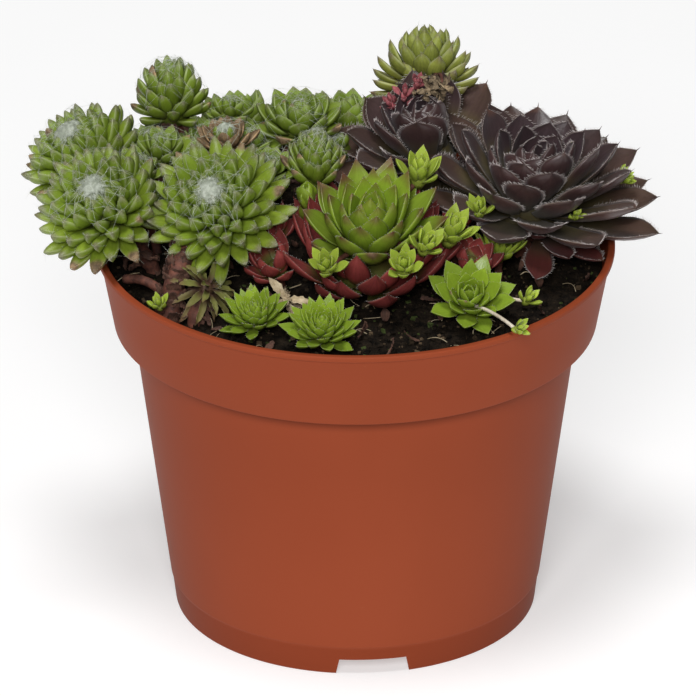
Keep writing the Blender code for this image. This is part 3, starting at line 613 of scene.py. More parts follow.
# node, slot, crown, where its stem meets the soil, stem radius, offsets
PLANTS = [
    ("dark_rosette", "dark_leaf",
     dict(crown("dark", (39.5, 6.0, 98.2), (0.20, -0.06, 0.97), 32.0, 54, 11.4, 1.8, (8.0, 6.0), 350),
          short=((332, 0.15), (165, 0.20), (110, 0.04), (287, -0.19))),
     (39.0, 7.0), 3.2,
     [bud((28.5, -10.0, 103.0), (-0.1, -0.4, 0.9), 4.2, 10)]),
    ("centre_crown", "fresh_leaf",
     dict(crown("central", CENTRE, CENTRE_AXIS, 20.5, 40, 7.8, 1.9, (6.0, 5.6), 75), short=((165, 0.16), (285, 0.10))),
     None, 0,
     [bud((-6.5, -31.5, 99.0), (-0.1, -0.55, 0.83), 5.4, 12),
      bud((14.5, -9.0, 111.0), (0.1, -0.3, 0.95), 6.6, 13, 20),
      bud((21.5, -19.5, 101.0), (0.25, -0.3, 0.92), 7.0, 16, 50),
      bud((11.0, -32.0, 99.0), (0.0, -0.6, 0.8), 5.6, 13, 80),
      bud((15.6, -28.0, 102.5), (0.3, -0.4, 0.85), 5.4, 12, 10)]),
    ("centre_red_ring", "red_leaf",
     crown("red", RED_CENTRE, CENTRE_AXIS, 22.5, 40, 7.0, 1.5, (8.2, 4.2), 35), (2.0, -12.0), 2.6, []),
    ("dark_left_rosette", "dark_leaf",
     dict(crown("dark", (18.0, 20.0, 102.5), (-0.14, -0.16, 0.97), 26.5, 44, 11.8, 1.8, (5.4, 6.0), 187),
          pitch=(-6, 80), rise=0.86, inner=0.50, spread=(-45, 82)), (19.0, 21.0), 2.4, []),
    ("cobweb_middle", "webbed_leaf",
     crown("cobweb", (-31.6, -12.3, 104.4), (-0.18, -0.61, 0.77), 18.9, 92, 4.3, 2.8, (6.6, 6.6), 10), (-32.0, -4.0),
     1.8, []),
    ("cobweb_left_front", "webbed_leaf",
     crown("cobweb", (-57.4, -9.6, 103.2), (-0.30, -0.50, 0.81), 17.8, 88, 4.1, 2.7, (6.2, 6.2), 130), (-47.0, -6.0),
     1.8, []),
    ("cobweb_left_back", "webbed_leaf",
     crown("cobweb", (-62.2, 15.0, 104.2), (-0.44, -0.22, 0.87), 16.4, 78, 4.0, 2.5, (5.6, 5.8), 205), (-49.0, 14.0),
     1.8, []),
    ("upright_rosette", "webbed_leaf",
     crown("column", (-9.4, -1.0, 107.0), (0.02, -0.14, 0.99), 8.0, 46, 3.6, 1.5, (3.4, 12.6), 30), (-10.0, 0.0),
     1.5, []),
    ("green_cup_rosette", "webbed_leaf",
     crown("cup", (-13.0, 24.0, 107.6), (0.0, -0.1, 0.99), 12.0, 34, 5.4, 1.9, (4.6, 4.2), 60), (-13.0, 22.0),
     1.8, []),
    ("top_right_rosette", "pale_leaf",
     crown("dome", (16.4, 38.0, 114.0), (0.0, 0.30, 0.95), 14.0, 62, 4.9, 1.8, (5.0, 8.0)), (13.0, 38.0), 1.8, []),
    ("top_left_rosette", "webbed_leaf",
     crown("barrel", (-42.5, 28.0, 111.6), (-0.08, 0.12, 0.99), 11.4, 46, 3.4, 1.8, (4.4, 5.4), 90), (-39.0, 28.0),
     1.8, []),
    ("front_right_rosette", "pale_leaf",
     crown("fresh", (26.0, -31.0, 90.0), (0.04, -0.56, 0.83), 12.2, 30, 5.0, 1.2, (3.2, 3.6), 15), (25.6, -30.5), 1.2,
     [bud((39.0, -32.0, 91.2), (0.5, -0.3, 0.8), 3.6, 8), bud((36.6, -51.0, 93.4), (0.6, -0.6, 0.5), 3.0, 8, 30)]),
    ("front_middle_rosette", "fresh_leaf",
     crown("fresh", (-7.5, -43.6, 88.4), (0.0, -0.36, 0.93), 10.4, 58, 3.2, 1.1, (3.0, 3.4), 40), (-7.5, -42.0),
     1.2, []),
    ("front_left_rosette", "fresh_leaf",
     crown("fresh", (-22.8, -37.0, 88.4), (-0.15, -0.3, 0.94), 9.6, 54, 2.8, 1.0, (2.6, 3.0), 100), (-23.0, -34.0),
     1.2, []),
    ("feathery_offset", "fresh_leaf",
     crown("bud", (32.8, -8.0, 91.0), (0.1, -0.2, 0.97), 6.8, 34, 2.2, 0.9, (2.0, 2.2)), (33.0, -8.0), 1.0, []),
    ("woolly_rosette", "dry_leaf",
     dict(crown("cup", (-29.8, 12.0, 108.6), (-0.1, -0.1, 0.98), 9.0, 26, 3.8, 1.3, (2.8, 3.0)), dry_below=0.8,
          felt=260), (-28.0, 11.0), 1.3, []),
    ("thread_rosette", "webbed_leaf",
     crown("cup", (-45.0, 12.0, 106.0), (0.0, -0.1, 0.99), 9.2, 22, 3.6, 1.5, (3.0, 3.2), 45), (-42.0, 11.0), 1.3, []),
    ("small_top_rosette", "webbed_leaf",
     crown("cup", (-29.5, 25.5, 110.0), (0.1, 0.15, 0.97), 6.8, 16, 3.0, 1.3, (2.4, 2.8), 20), (-28.0, 25.0), 1.3, []),
    ("back_left_rosette", "fresh_leaf",
     crown("cup", (-27.0, 39.0, 99.0), (-0.1, 0.25, 0.97), 14.0, 26, 5.8, 1.9, (4.6, 4.2)), (-27.0, 38.0), 1.5, []),
    ("back_right_rosette", "fresh_leaf",
     crown("cup", (-2.0, 38.0, 100.0), (0.0, 0.15, 0.99), 13.5, 26, 5.6, 1.8, (4.4, 4.0), 70), (-2.0, 37.0), 1.5, []),
    ("withered_stem", "dry_leaf",
     crown("withered", (-34.5, -26.5, 91.5), (0.55, -0.25, 0.75), 5.9, 32, 1.9, 0.6, (2.0, 2.2)), (-37.0, -31.0),
     1.6, []),
]

# slot, crown, where its stem meets the soil, stem radius: small heads that close the clump's gaps
FILLERS = [
    ("webbed_leaf", crown("cup", (-50.5, 3.5, 106.0), (0.1, -0.35, 0.93), 8.0, 26, 3.4, 1.4, (2.6, 3.0), 10),
     (-46.0, 3.0), 1.1),
    ("webbed_leaf", crown("cup", (-37.5, 6.5, 106.0), (0.0, -0.3, 0.95), 8.0, 26, 3.4, 1.4, (2.6, 3.0), 60),
     (-36.0, 6.0), 1.1),
    ("webbed_leaf", crown("cup", (-43.5, -3.0, 99.0), (0.0, -0.4, 0.92), 8.0, 22, 3.6, 1.4, (2.6, 3.0), 90),
     (-41.0, -3.0), 1.1),
    ("webbed_leaf", crown("cup", (-24.0, 20.0, 104.5), (0.1, -0.3, 0.95), 9.0, 28, 4.0, 1.5, (2.8, 3.2), 30),
     (-23.0, 20.0), 1.1),
    ("webbed_leaf", crown("cup", (-20.5, 9.0, 103.0), (0.1, -0.3, 0.95), 8.0, 24, 3.8, 1.5, (2.6, 3.0), 140),
     (-20.0, 9.0), 1.1),
    ("webbed_leaf", crown("cup", (-3.6, 21.0, 103.6), (0.0, -0.3, 0.95), 7.6, 26, 4.0, 1.4, (2.8, 3.2), 200),
     (-1.0, 20.0), 1.1),
    ("dark_leaf", dict(crown("dark", (29.0, 20.0, 96.5), (0.1, 0.1, 0.98), 17.0, 12, 9.0, 1.6, (3.0, 2.6), 40),
                       pitch=(24, 66), rise=0.9, inner=0.7, spread=(-20, 70)), None, 0),
    ("webbed_leaf", crown("cup", (-47.0, 22.5, 102.0), (-0.2, -0.2, 0.95), 9.0, 28, 3.6, 1.5, (2.8, 3.2), 30),
     (-42.0, 22.5), 1.1),
    ("webbed_leaf", crown("cup", (-35.0, 24.0, 102.5), (0.1, -0.3, 0.95), 9.0, 28, 3.6, 1.5, (2.8, 3.2), 110),
     (-34.0, 24.0), 1.1),
    ("dry_leaf", dict(crown("withered", (-13.5, 38.5, 101.5), (0.0, 0.0, 1.0), 5.6, 22, 3.6, 0.9, (2.2, 2.4), 0),
                      pitch=(60, 86), curl=10, spread=(-20, 80), warp=0.12), (-13.0, 38.0), 1.3),
    ("fresh_leaf", dict(crown("fresh", (-11.0, -5.2, 101.0), (-0.05, -0.35, 0.93), 8.6, 16, 5.8, 1.5, (2.4, 2.8), 250),
                        pitch=(38, 80), curl=12, inner=0.75), (-9.0, -6.0), 1.1),
    ("red_leaf", crown("red", (-18.0, -18.5, 93.0), (-0.25, -0.35, 0.9), 9.5, 18, 4.6, 1.3, (2.4, 2.6), 0),
     (-17.0, -18.0), 1.1),
    ("red_leaf", crown("red", (-19.5, -9.0, 96.5), (-0.2, -0.25, 0.94), 8.5, 16, 4.4, 1.3, (2.2, 2.6), 120),
     (-18.5, -9.0), 1.1),
    ("red_leaf", crown("red", (24.0, -3.5, 98.0), (0.05, -0.3, 0.95), 8.5, 15, 4.8, 1.3, (2.2, 2.6), 200),
     (23.0, -3.5), 1.1),
    ("red_leaf", crown("red", (26.5, -15.0, 92.0), (0.15, -0.3, 0.94), 8.0, 15, 4.4, 1.3, (2.2, 2.6), 60),
     (26.0, -14.5), 1.1),
    ("red_leaf", crown("red", (4.0, 5.0, 98.0), (0.0, -0.1, 0.98), 9.0, 15, 4.8, 1.3, (2.2, 2.6), 10),
     (4.0, 5.0), 1.1),
    ("pale_leaf", bud((61.0, 7.0, 103.2), (0.75, -0.2, 0.6), 3.4, 10, 15), None, 0),
    ("pale_leaf", bud((50.5, -8.5, 101.2), (0.3, -0.5, 0.8), 2.6, 8, 50), None, 0),
    ("pale_leaf", bud((-44.8, -31.0, 89.2), (-0.2, -0.4, 0.9), 3.2, 9, 70), None, 0),
    ("red_leaf", dict(bud((8.6, 23.0, 114.5), (-0.5, -0.3, 0.8), 3.0, 8, 0), material=BUD_RED), None, 0),
    ("red_leaf", dict(bud((11.2, 22.5, 117.2), (-0.2, -0.4, 0.9), 3.0, 8, 30), material=BUD_RED), None, 0),
    ("red_leaf", dict(bud((14.2, 23.0, 119.6), (0.1, -0.5, 0.85), 3.0, 8, 60), material=BUD_RED), None, 0),
    ("red_leaf", dict(bud((12.6, 21.5, 114.6), (0.1, -0.5, 0.85), 2.8, 7, 90), material=BUD_RED), None, 0),
    ("dry_leaf", dict(crown("withered", (17.0, 20.5, 119.8), (0.1, -0.8, 0.5), 2.5, 9, 1.8, 0.5, (0.9, 1.0), 0),
                      material=TAN, warp=1.5), None, 0),
    ("dry_leaf", dict(crown("withered", (20.0, 20.5, 120.6), (0.4, -0.7, 0.5), 2.3, 8, 1.6, 0.5, (0.8, 0.9), 70),
                      material=TAN, warp=1.6), None, 0),
    ("dry_leaf", dict(crown("withered", (-16.2, -29.5, 90.0), (0.2, -0.3, 0.9), 4.2, 8, 2.4, 0.5, (1.0, 1.2), 0),
                      material=STRAW, warp=0.8), None, 0),
    ("dark_leaf", dict(crown("dark", (43.0, 1.0, 93.0), (0.20, -0.16, 0.96), 20.5, 20, 6.4, 1.4, (3.0, 1.8), 300),
                       pitch=(-6, 30), curl=14, spread=(-30, 60), inner=0.7, material=MAROON), None, 0),
]

# paths and radii of bare stems that lie between the heads
RUNNERS = [
    ([(-42.5, -28.5, 83.0), (-42.2, -27.5, 89.0), (-41.0, -25.0, 94.0), (-39.0, -20.0, 98.5)], 2.5),
    ([(-43.0, -28.5, 86.0), (-44.2, -30.0, 87.6), (-44.6, -30.6, 88.2), (-44.8, -31.0, 89.2)], 0.5),
    ([(16.0, 37.0, 110.0), (13.5, 31.0, 113.5), (10.5, 26.0, 115.0), (8.6, 23.0, 114.5)], 0.5),
    ([(16.0, 37.0, 111.0), (15.5, 31.0, 116.5), (14.8, 26.5, 119.3), (14.2, 23.0, 119.6)], 0.5),
    ([(10.5, 26.0, 115.0), (11.6, 24.0, 116.3), (12.2, 22.6, 115.6), (12.6, 21.5, 114.6)], 0.4),
    ([(13.5, 31.0, 113.5), (13.0, 27.0, 116.8), (12.0, 24.5, 117.6), (11.2, 22.5, 117.2)], 0.4),
    ([(17.0, 36.0, 113.0), (18.6, 30.0, 119.0), (18.0, 24.5, 121.0), (17.0, 20.5, 119.8)], 0.5),
    ([(18.6, 30.0, 119.0), (19.6, 26.5, 121.0), (20.0, 23.0, 121.6), (20.0, 20.5, 120.6)], 0.4),
    ([(-53.0, -18.5, 90.2), (-50.0, -20.5, 91.2), (-46.5, -23.0, 91.0), (-43.0, -26.0, 89.0)], 1.1),
]


def crown_matrix(head):
    """From a head's frame to the pot's."""
    turned = Vector(head["axis"]).to_track_quat("Z", "Y")
    return Matrix.LocRotScale(Vector(head["centre"]), turned, None)


def leaf_plan(head, seed):
    """The leaves of a head from the outermost in."""
    draw = random.Random(seed)
    radius = head["core"][0]
    lowest, bend = math.radians(head["pitch"][0]), math.radians(head["curl"])
    across = (math.sin(lowest + bend) - math.sin(lowest)) / bend
    full = (head["reach"] - radius * 0.85) / across
    low, high = (math.sin(math.radians(a)) for a in head["spread"])

    def nearer(azimuth):
        """Shortens the leaves on the sides where neighbours crowd the head."""
        share = 1.0
        for crowded, loss in head.get("short", ()):
            share -= loss * max(0.0, math.cos(azimuth - math.radians(crowded)))
        return share

    plan = []
    for index in range(head["leaves"]):
        t = index / max(head["leaves"] - 1, 1)
        pitch = head["pitch"][0] + (head["pitch"][1] - head["pitch"][0]) * t ** head.get("rise", 1.1)
        size = 1 + (head["inner"] - 1) * t**1.4
        azimuth = math.radians(head["turn"]) + index * GOLDEN_ANGLE + draw.uniform(-0.06, 0.06)
        plan.append(
            {
                "azimuth": azimuth,
                "latitude": math.asin(low + (high - low) * t),
                "pitch": math.radians(pitch + draw.uniform(-4, 4)),
                "length": full * size * draw.uniform(0.93, 1.05) * nearer(azimuth),
                "width": head["width"] * (0.35 + 0.65 * size) * draw.uniform(0.94, 1.06),
                "thick": head["thick"] * (0.6 + 0.4 * size),
                "curl": bend,
                "age": t,
                "chance": draw.random(),
                "dead": 0.0,
            }
        )
    return plan


def leaf_root(head, leaf):
    """Where a leaf starts on its head's core, and its directions outward and sideways."""
    radius, height = head["core"]
    sunk = 1 - min(0.3, LEAF_SUNK / radius)
    out = np.array([math.cos(leaf["azimuth"]), math.sin(leaf["azimuth"]), 0.0])
    side = np.array([-out[1], out[0], 0.0])
    root = out * (radius * math.cos(leaf["latitude"]) * sunk)
    root = root + UP * ((height if leaf["latitude"] > 0 else radius) * math.sin(leaf["latitude"]) * sunk)
    return root, out, side


def midline(head, leaf, shares, added=0.0, length_share=1.0, grow=0.0):
    """Points along a leaf and its upward normals there, in its head's frame."""
    root, out, side = leaf_root(head, leaf)
    pitch = leaf["pitch"] + added
    length, curl = leaf["length"] * length_share + grow, leaf["curl"]
    bend = pitch + curl * np.asarray(shares, float)
    rise = np.cos(pitch) - np.cos(bend)
    reach = np.sin(bend) - np.sin(pitch)
    centre = root + (out * reach[:, None] + UP * rise[:, None]) * (length / curl)
    normal = UP * np.cos(bend)[:, None] - out * np.sin(bend)[:, None]
    return centre, normal, side


def proxy(head, leaf, added, length_share, grow):
    """The frame's plain leaf, grown a little, for finding a free place."""
    sections = CAD_OUTLINES["narrow" if leaf["age"] > 0.62 else head["outline"]]
    centre, normal, side = midline(head, leaf, [row[0] for row in sections] + [1.0], added, length_share, grow)
    points = []
    for place, up, (_, width_share, thick_share) in zip(centre, normal, sections):
        half = leaf["width"] * width_share / 2 + grow
        thick = leaf["thick"] * thick_share
        points.append(place + side * half + up * (thick * LEAF_ABOVE + grow))
        points.append(place - side * half + up * (thick * LEAF_ABOVE + grow))
        points.append(place - up * (thick * LEAF_BELOW + grow))
    points.append(centre[-1])
    faces = [(0, 1, 2)]
    for ring in range(len(sections) - 1):
        for i in range(3):
            j = (i + 1) % 3
            faces.append((ring * 3 + i, ring * 3 + 3 + i, ring * 3 + 3 + j, ring * 3 + j))
    last = (len(sections) - 1) * 3
    faces += [(last + i, len(points) - 1, last + (i + 1) % 3) for i in range(3)]
    return points, faces


def tree(points, faces):
    return BVHTree.FromPolygons([tuple(p) for p in points], faces, all_triangles=False, epsilon=0.0)


TOP_U = np.sin(np.linspace(-np.pi / 2, np.pi / 2, 7))
LOW_U = np.sin(np.linspace(np.pi / 2, -np.pi / 2, 7))[1:-1]
SECTION_U = np.concatenate([TOP_U, LOW_U])
AROUND = len(SECTION_U)
IS_TOP = np.arange(AROUND) < len(TOP_U)
SHARES = 1 - (1 - np.linspace(0, 1, 11)) ** 1.35
LEAF_QUADS = ring_quads(len(SHARES), AROUND)
LEAF_TRIS = np.concatenate([fan(AROUND), cone(len(SHARES), AROUND)])
FACING = np.where(IS_TOP, 1.0, -1.0) * np.sqrt(np.clip(1 - SECTION_U**2, 0, 1))
LEAF_DATA = np.stack([np.repeat(SHARES, AROUND), *np.tile([SECTION_U, FACING], len(SHARES))], -1)
LEAF_DATA = np.concatenate([LEAF_DATA, [(1.0, 0.0, 0.0)]])


def fine_leaf(heap, head, leaf, added, length_share, draw, matrix, warp=0.0):
    """Adds one full leaf and returns its edges, its tip and their directions in the world."""
    centre, normal, side = midline(head, leaf, SHARES, added, length_share)
    sway = draw.uniform(-0.05, 0.05) * leaf["length"]
    twist = draw.uniform(-0.16, 0.16) + warp * draw.uniform(-1.2, 1.2)
    s = SHARES[:, None]
    centre = centre + side * (sway * s**2)
    across = side * np.cos(twist * s) + normal * np.sin(twist * s)
    above = normal * np.cos(twist * s) - side * np.sin(twist * s)
    wave = 1 + (0.025 + 0.14 * warp) * np.sin(2 * np.pi * (SHARES * (1.6 + 2 * warp) + draw.random()))
    half = leaf["width"] / 2 * catmull(OUTLINE[head["fine"]], SHARES) * wave
    thick = leaf["thick"] * catmull(ROUND_BODY, SHARES)
    u = SECTION_U[None, :]
    full = 1 - u**2
    top = LEAF_ABOVE + head["top"] * full
    keel = head["keel"] * (1 - np.abs(u)) ** 1.3 * np.clip(s * 1.6 - 0.2, 0, 1)
    low = LEAF_ABOVE - head["belly"] * np.sqrt(np.clip(full, 0, 1)) ** 1.1 - keel
    height = np.where(IS_TOP, top, low) * thick[:, None]
    height = height + head["cup"] * (u**2) * half[:, None] * 2
    if warp:
        folds = np.sin(u * 5 + s * 9 + draw.random() * 6) * np.cos(s * 14 + u * 3)
        height = height + warp * 0.9 * folds * (0.3 + s)
    points = centre[:, None] + across[:, None] * (u * half[:, None])[..., None]
    points = points + above[:, None] * height[..., None]
    tangent = centre[-1] - centre[-2]
    tangent = tangent / np.linalg.norm(tangent)
    spike = head.get("spike", 0.0) * draw.uniform(0.6, 1.1) + 0.05
    tip = centre[-1] + tangent * spike + above[-1] * LEAF_ABOVE * thick[-1]
    world = to_world(matrix, np.concatenate([points.reshape(-1, 3), [tip]]))
    heap.add(world, LEAF_QUADS, LEAF_TRIS, LEAF_DATA, (leaf["age"], leaf["chance"], leaf["dead"]))
    rings = world[:-1].reshape(len(SHARES), AROUND, 3)
    turn = np.array(matrix)[:3, :3]
    return {
        "left": rings[:, 0], "right": rings[:, len(TOP_U) - 1], "side": turn @ side,
        "tip": world[-1], "tangent": turn @ tangent, "normal": turn @ above[-1], "leaf": leaf,
    }


def core_points(head):
    """Profile of the core that carries a head's leaves."""
    radius, height = head["core"]
    low = (radius * 0.8, -2.0) if head["kind"] == "central" else (radius * 0.62, -height * 0.7)
    top = [(radius * 0.92, height * 0.35), (radius * 0.72, height * 0.66), (0.01, height)]
    return [(0.01, low[1]), low, (radius, 0), *top]


def hairs(heap, roots, directions, lengths, radius, draw, bend, steps):
    """Adds tapering hairs that start at roots and lean a little at random."""
    roots = np.asarray(roots)
    if len(roots) == 0:
        return
    rng = np.random.default_rng(draw.randrange(1 << 30))
    lean = rng.normal(0, bend, (len(roots), 3))
    t = np.linspace(0, 1, steps)[None, :, None]
    ahead = unit(np.asarray(directions))[:, None] * t + lean[:, None] * t**2
    paths = roots[:, None] + ahead * np.asarray(lengths)[:, None, None]
    tubes(heap, paths, radius * (1 - 0.75 * np.linspace(0, 1, steps)))


def add_cilia(heap, shape, size, draw, spacing, start_share=0.35):
    """Hairs along both edges of a leaf, from start_share of its length to the tip."""
    for key, sign in (("left", -1.0), ("right", 1.0)):
        edge = shape[key]
        run = np.concatenate([[0], np.cumsum(np.linalg.norm(np.diff(edge, axis=0), axis=1))])
        start = run[-1] * start_share
        number = max(3, int((run[-1] - start) / spacing))
        shaken = np.array([draw.uniform(-0.15, 0.15) for _ in range(number)])
        at = np.linspace(start, run[-1] * 0.985, number) + shaken
        roots = np.stack([np.interp(at, run, edge[:, k]) for k in range(3)], -1)
        ahead = np.stack([np.interp(at + 0.6, run, edge[:, k]) for k in range(3)], -1) - roots
        out = shape["side"] * sign + unit(ahead, 1e-6) * 0.2 + shape["normal"] * 0.5
        lengths = [size * draw.uniform(0.55, 1.1) for _ in range(number)]
        hairs(heap, roots, out, lengths, 0.045 + 0.025 * size, draw, bend=0.2, steps=3)


def add_wool(heap, shape, number, draw, size):
    """A tuft of curled wool about a leaf's tip."""
    tip, tangent, normal, side = shape["tip"], shape["tangent"], shape["normal"], shape["side"]
    roots, directions = [], []
    for _ in range(number):
        back = draw.uniform(0.0, 1.4)
        roots.append(tip - tangent * back + side * draw.uniform(-0.6, 0.6) * back + normal * draw.uniform(-0.2, 0.2))
        directions.append(
            tangent * draw.uniform(-0.2, 1.0) + side * draw.uniform(-1, 1) + normal * draw.uniform(-0.6, 1.0)
        )
    lengths = [size * draw.uniform(0.4, 1.2) for _ in range(number)]
    hairs(heap, roots, directions, lengths, WOOL_RADIUS, draw, bend=0.6, steps=4)


def add_threads(heap, shapes, head, draw, inner_from, neighbours, felt, felt_radius):
    """Cobweb threads between the tips of the leaves past inner_from, and felt threads over the heart."""
    rng = np.random.default_rng(draw.randrange(1 << 30))
    tips = np.array([shape["tip"] for shape in shapes])
    ages = np.array([shape["leaf"]["age"] for shape in shapes])
    axis = np.array(Vector(head["axis"]).normalized())
    heart = tips[ages > 0.8].mean(axis=0) - axis * 0.4
    ends = []
    for index in np.flatnonzero(ages > inner_from):
        away = np.linalg.norm(tips - tips[index], axis=1)
        near = [k for k in np.argsort(away)[1:9] if away[k] < 9.5]
        for other in draw.sample(near, min(neighbours, len(near))):
            ends.append((tips[index], tips[other]))
        if ages[index] > 0.35 and draw.random() < 0.8:
            ends.append((tips[index], heart + rng.normal(0, felt_radius * 0.45, 3)))
    starts = np.array([a for a, _ in ends]) + rng.normal(0, 0.3, (len(ends), 3))
    stops = np.array([b for _, b in ends]) + rng.normal(0, 0.3, (len(ends), 3))
    t = np.linspace(0, 1, 5)[None, :, None]
    span = np.linalg.norm(stops - starts, axis=1)[:, None, None]
    bow = rng.normal(0, 0.015, (len(ends), 3))
    paths = starts[:, None] * (1 - t) + stops[:, None] * t + 4 * t * (1 - t) * bow[:, None] * span
    tubes(heap, paths, rng.uniform(0.016, 0.034, (len(ends), 1)))
    # the matted disc over the heart, denser in its middle
    flat = Matrix.LocRotScale(Vector(heart), Vector(head["axis"]).to_track_quat("Z", "Y"), None)
    radius = felt_radius * rng.uniform(0, 1, felt) ** 0.75
    angle = rng.uniform(0, 2 * np.pi, felt)
    lift = 0.7 * (1 - (radius / felt_radius) ** 2) + rng.uniform(-0.12, 0.12, felt)
    middle = circle(radius, lift, angle)
    heading = angle + rng.normal(0, 0.9, felt)
    reach = rng.uniform(0.5, 1.5, felt)
    along = np.stack([np.cos(heading), np.sin(heading), rng.normal(0, 0.06, felt)], -1) * reach[:, None]
    t = np.linspace(-1, 1, 4)[None, :, None]
    paths = middle[:, None] + along[:, None] * t + rng.normal(0, 0.12, (felt, 1, 3)) * (1 - t**2)
    away = np.hypot(paths[..., 0], paths[..., 1]) / felt_radius
    paths[..., 2] = np.minimum(paths[..., 2], 0.85 - 0.9 * away**2)
    tubes(heap, to_world(flat, paths), FELT_THREAD_RADIUS)
    if felt > FELT_FROM:
        add_felt(heap, flat, felt_radius, rng)


def add_felt(heap, flat, radius, rng):
    """A closed ragged disc under the threads over a heart."""
    turn = around(FELT_SIDES)
    rings = []
    for share in (0.02, 0.25, 0.5, 0.72, 0.9, 1.0):
        rough = 1 + 0.10 * np.sin(3 * turn + 1) + 0.07 * np.sin(7 * turn) + rng.normal(0, 0.05, FELT_SIDES) * share
        far = radius * 0.66 * share * rough
        rise = 0.62 - 0.55 * (far / radius) ** 2 - 0.25 * share**6 + rng.normal(0, 0.03, FELT_SIDES)
        rings.append(circle(far, rise, turn))
    rings += [ring - (0, 0, FELT_THICKNESS) for ring in rings[::-1]]
    quads = ring_quads(len(rings), FELT_SIDES)[:, [0, 3, 2, 1]]
    cap = fan(FELT_SIDES)[:, [0, 2, 1]]
    caps = np.concatenate([cap, cap[:, ::-1] + (len(rings) - 1) * FELT_SIDES])
    heap.add(to_world(flat, np.concatenate(rings)), quads, caps, (1.0, 0.0, 1.0))


def stem_path(head, soil_at):
    """From below the soil up into a head's core."""
    x, y = soil_at
    ground = float(soil_height(x, y))
    bend, top = Vector((x, y, ground + STEM_RISE)), Vector(head["centre"])
    return [Vector((x, y, ground - STEM_DEPTH)), bend, bend.lerp(top, 0.58), top]


def add_skirt(heap, head, number, draw, size, drop=(20, 75), width=0.45):
    """Old dry leaves that hang round the underside of a head."""
    matrix = crown_matrix(head)
    for index in range(number):
        leaf = {
            "azimuth": index * GOLDEN_ANGLE + draw.uniform(-0.3, 0.3),
            "latitude": math.radians(-draw.uniform(25, 50)),
            "pitch": math.radians(-draw.uniform(*drop)),
            "length": size * draw.uniform(0.6, 1.0),
            "width": size * width * draw.uniform(0.7, 1.2),
            "thick": 0.4,
            "curl": math.radians(draw.uniform(-50, 60) or 1),
            "age": 0.0,
            "chance": draw.random(),
            "dead": 1.0,
        }
        husk = dict(head, fine="torn", top=0.0, belly=0.4, keel=0.0, cup=draw.uniform(-0.1, 0.35), spike=0.0)
        fine_leaf(heap, husk, leaf, 0.0, 1.0, draw, matrix, warp=draw.uniform(0.2, 0.6))


def body_trees(head, soil_at, stem, offsets):
    """Collision bodies of a plant's cores, stem and runners."""
    made = []
    for one in [head] + offsets:
        part = Heap()
        spun(part, core_points(one), crown_matrix(one), 8)
        made.append(part)
    if soil_at:
        part = Heap()
        tubes(part, [smooth_path(stem_path(head, soil_at), 7)], stem, 6)
        made.append(part)
    for one in offsets:
        part = Heap()
        tubes(part, [runner_path(head["centre"], one["centre"], 5)], 0.75, 5)
        made.append(part)
    return [tree(p.points[0], [tuple(f) for f in p.quads[0]] + [tuple(f) for f in p.tris[0]]) for p in made]


def runner_path(start, end, steps):
    """An arch from one core to another."""
    t = np.linspace(0, 1, steps)[:, None]
    return np.array(start) * (1 - t) + np.array(end) * t + UP * (RUNNER_ARCH * t * (1 - t))


def age_leaf(kind, leaf, draw):
    """Lets some leaves turn brown from the tip, the oldest more often."""
    if kind in ("cobweb", "dome", "barrel", "cup", "column"):
        if draw.random() < (0.4 if leaf["age"] < 0.16 else 0.03):
            leaf["dead"] = draw.uniform(0.06, 0.26)
    elif kind in ("dark", "red", "fresh", "central") and draw.random() < 0.10:
        leaf["dead"] = draw.uniform(0.05, 0.12)


def grow_head(one, seed, others, heap, hair, wool, draw):
    """Adds a head's leaves where they are clear of others, with their hairs. Returns the leaves' bodies."""
    matrix = crown_matrix(one)
    spun(heap, core_points(one), matrix, 14, (0.5, 0.5, 0.0))
    shapes, grown = [], []
    for leaf in leaf_plan(one, seed):
        age_leaf(one["kind"], leaf, draw)
        if leaf["age"] < one.get("dry_below", 0.0):
            leaf["dead"] = draw.uniform(0.6, 1.0)
        for degrees, share in TRIES:
            added = math.radians(degrees)
            points, faces = proxy(one, leaf, added, share, GAP)
            tried = tree(to_world(matrix, points), faces)
            if not any(tried.overlap(other) for other in others):
                plain, faces = proxy(one, leaf, added, share, 0.0)
                grown.append(tree(to_world(matrix, plain), faces))
                shapes.append(fine_leaf(heap, one, leaf, added, share, draw, matrix, one.get("warp", 0.0)))
                break
    for shape in shapes:
        if one.get("cilia"):
            add_cilia(hair, shape, one["cilia"], draw, spacing=0.5 if one["kind"] == "dark" else 0.9)
        if one.get("fuzz"):
            add_cilia(wool, shape, one["fuzz"], draw, spacing=0.85, start_share=0.70)
        if one.get("wool"):
            add_wool(wool, shape, one["wool"], draw, size=1.2 if one["kind"] == "cobweb" else 0.9)
    if one["kind"] == "cobweb":
        add_threads(wool, shapes, one, draw, inner_from=0.52, neighbours=3, felt=480, felt_radius=3.2)
    elif one["kind"] in ("column", "barrel", "cup") and one["reach"] < 13 and len(shapes) > 8:
        add_threads(wool, shapes, one, draw, inner_from=0.2, neighbours=2, felt=one.get("felt", 12), felt_radius=1.8)
    return grown


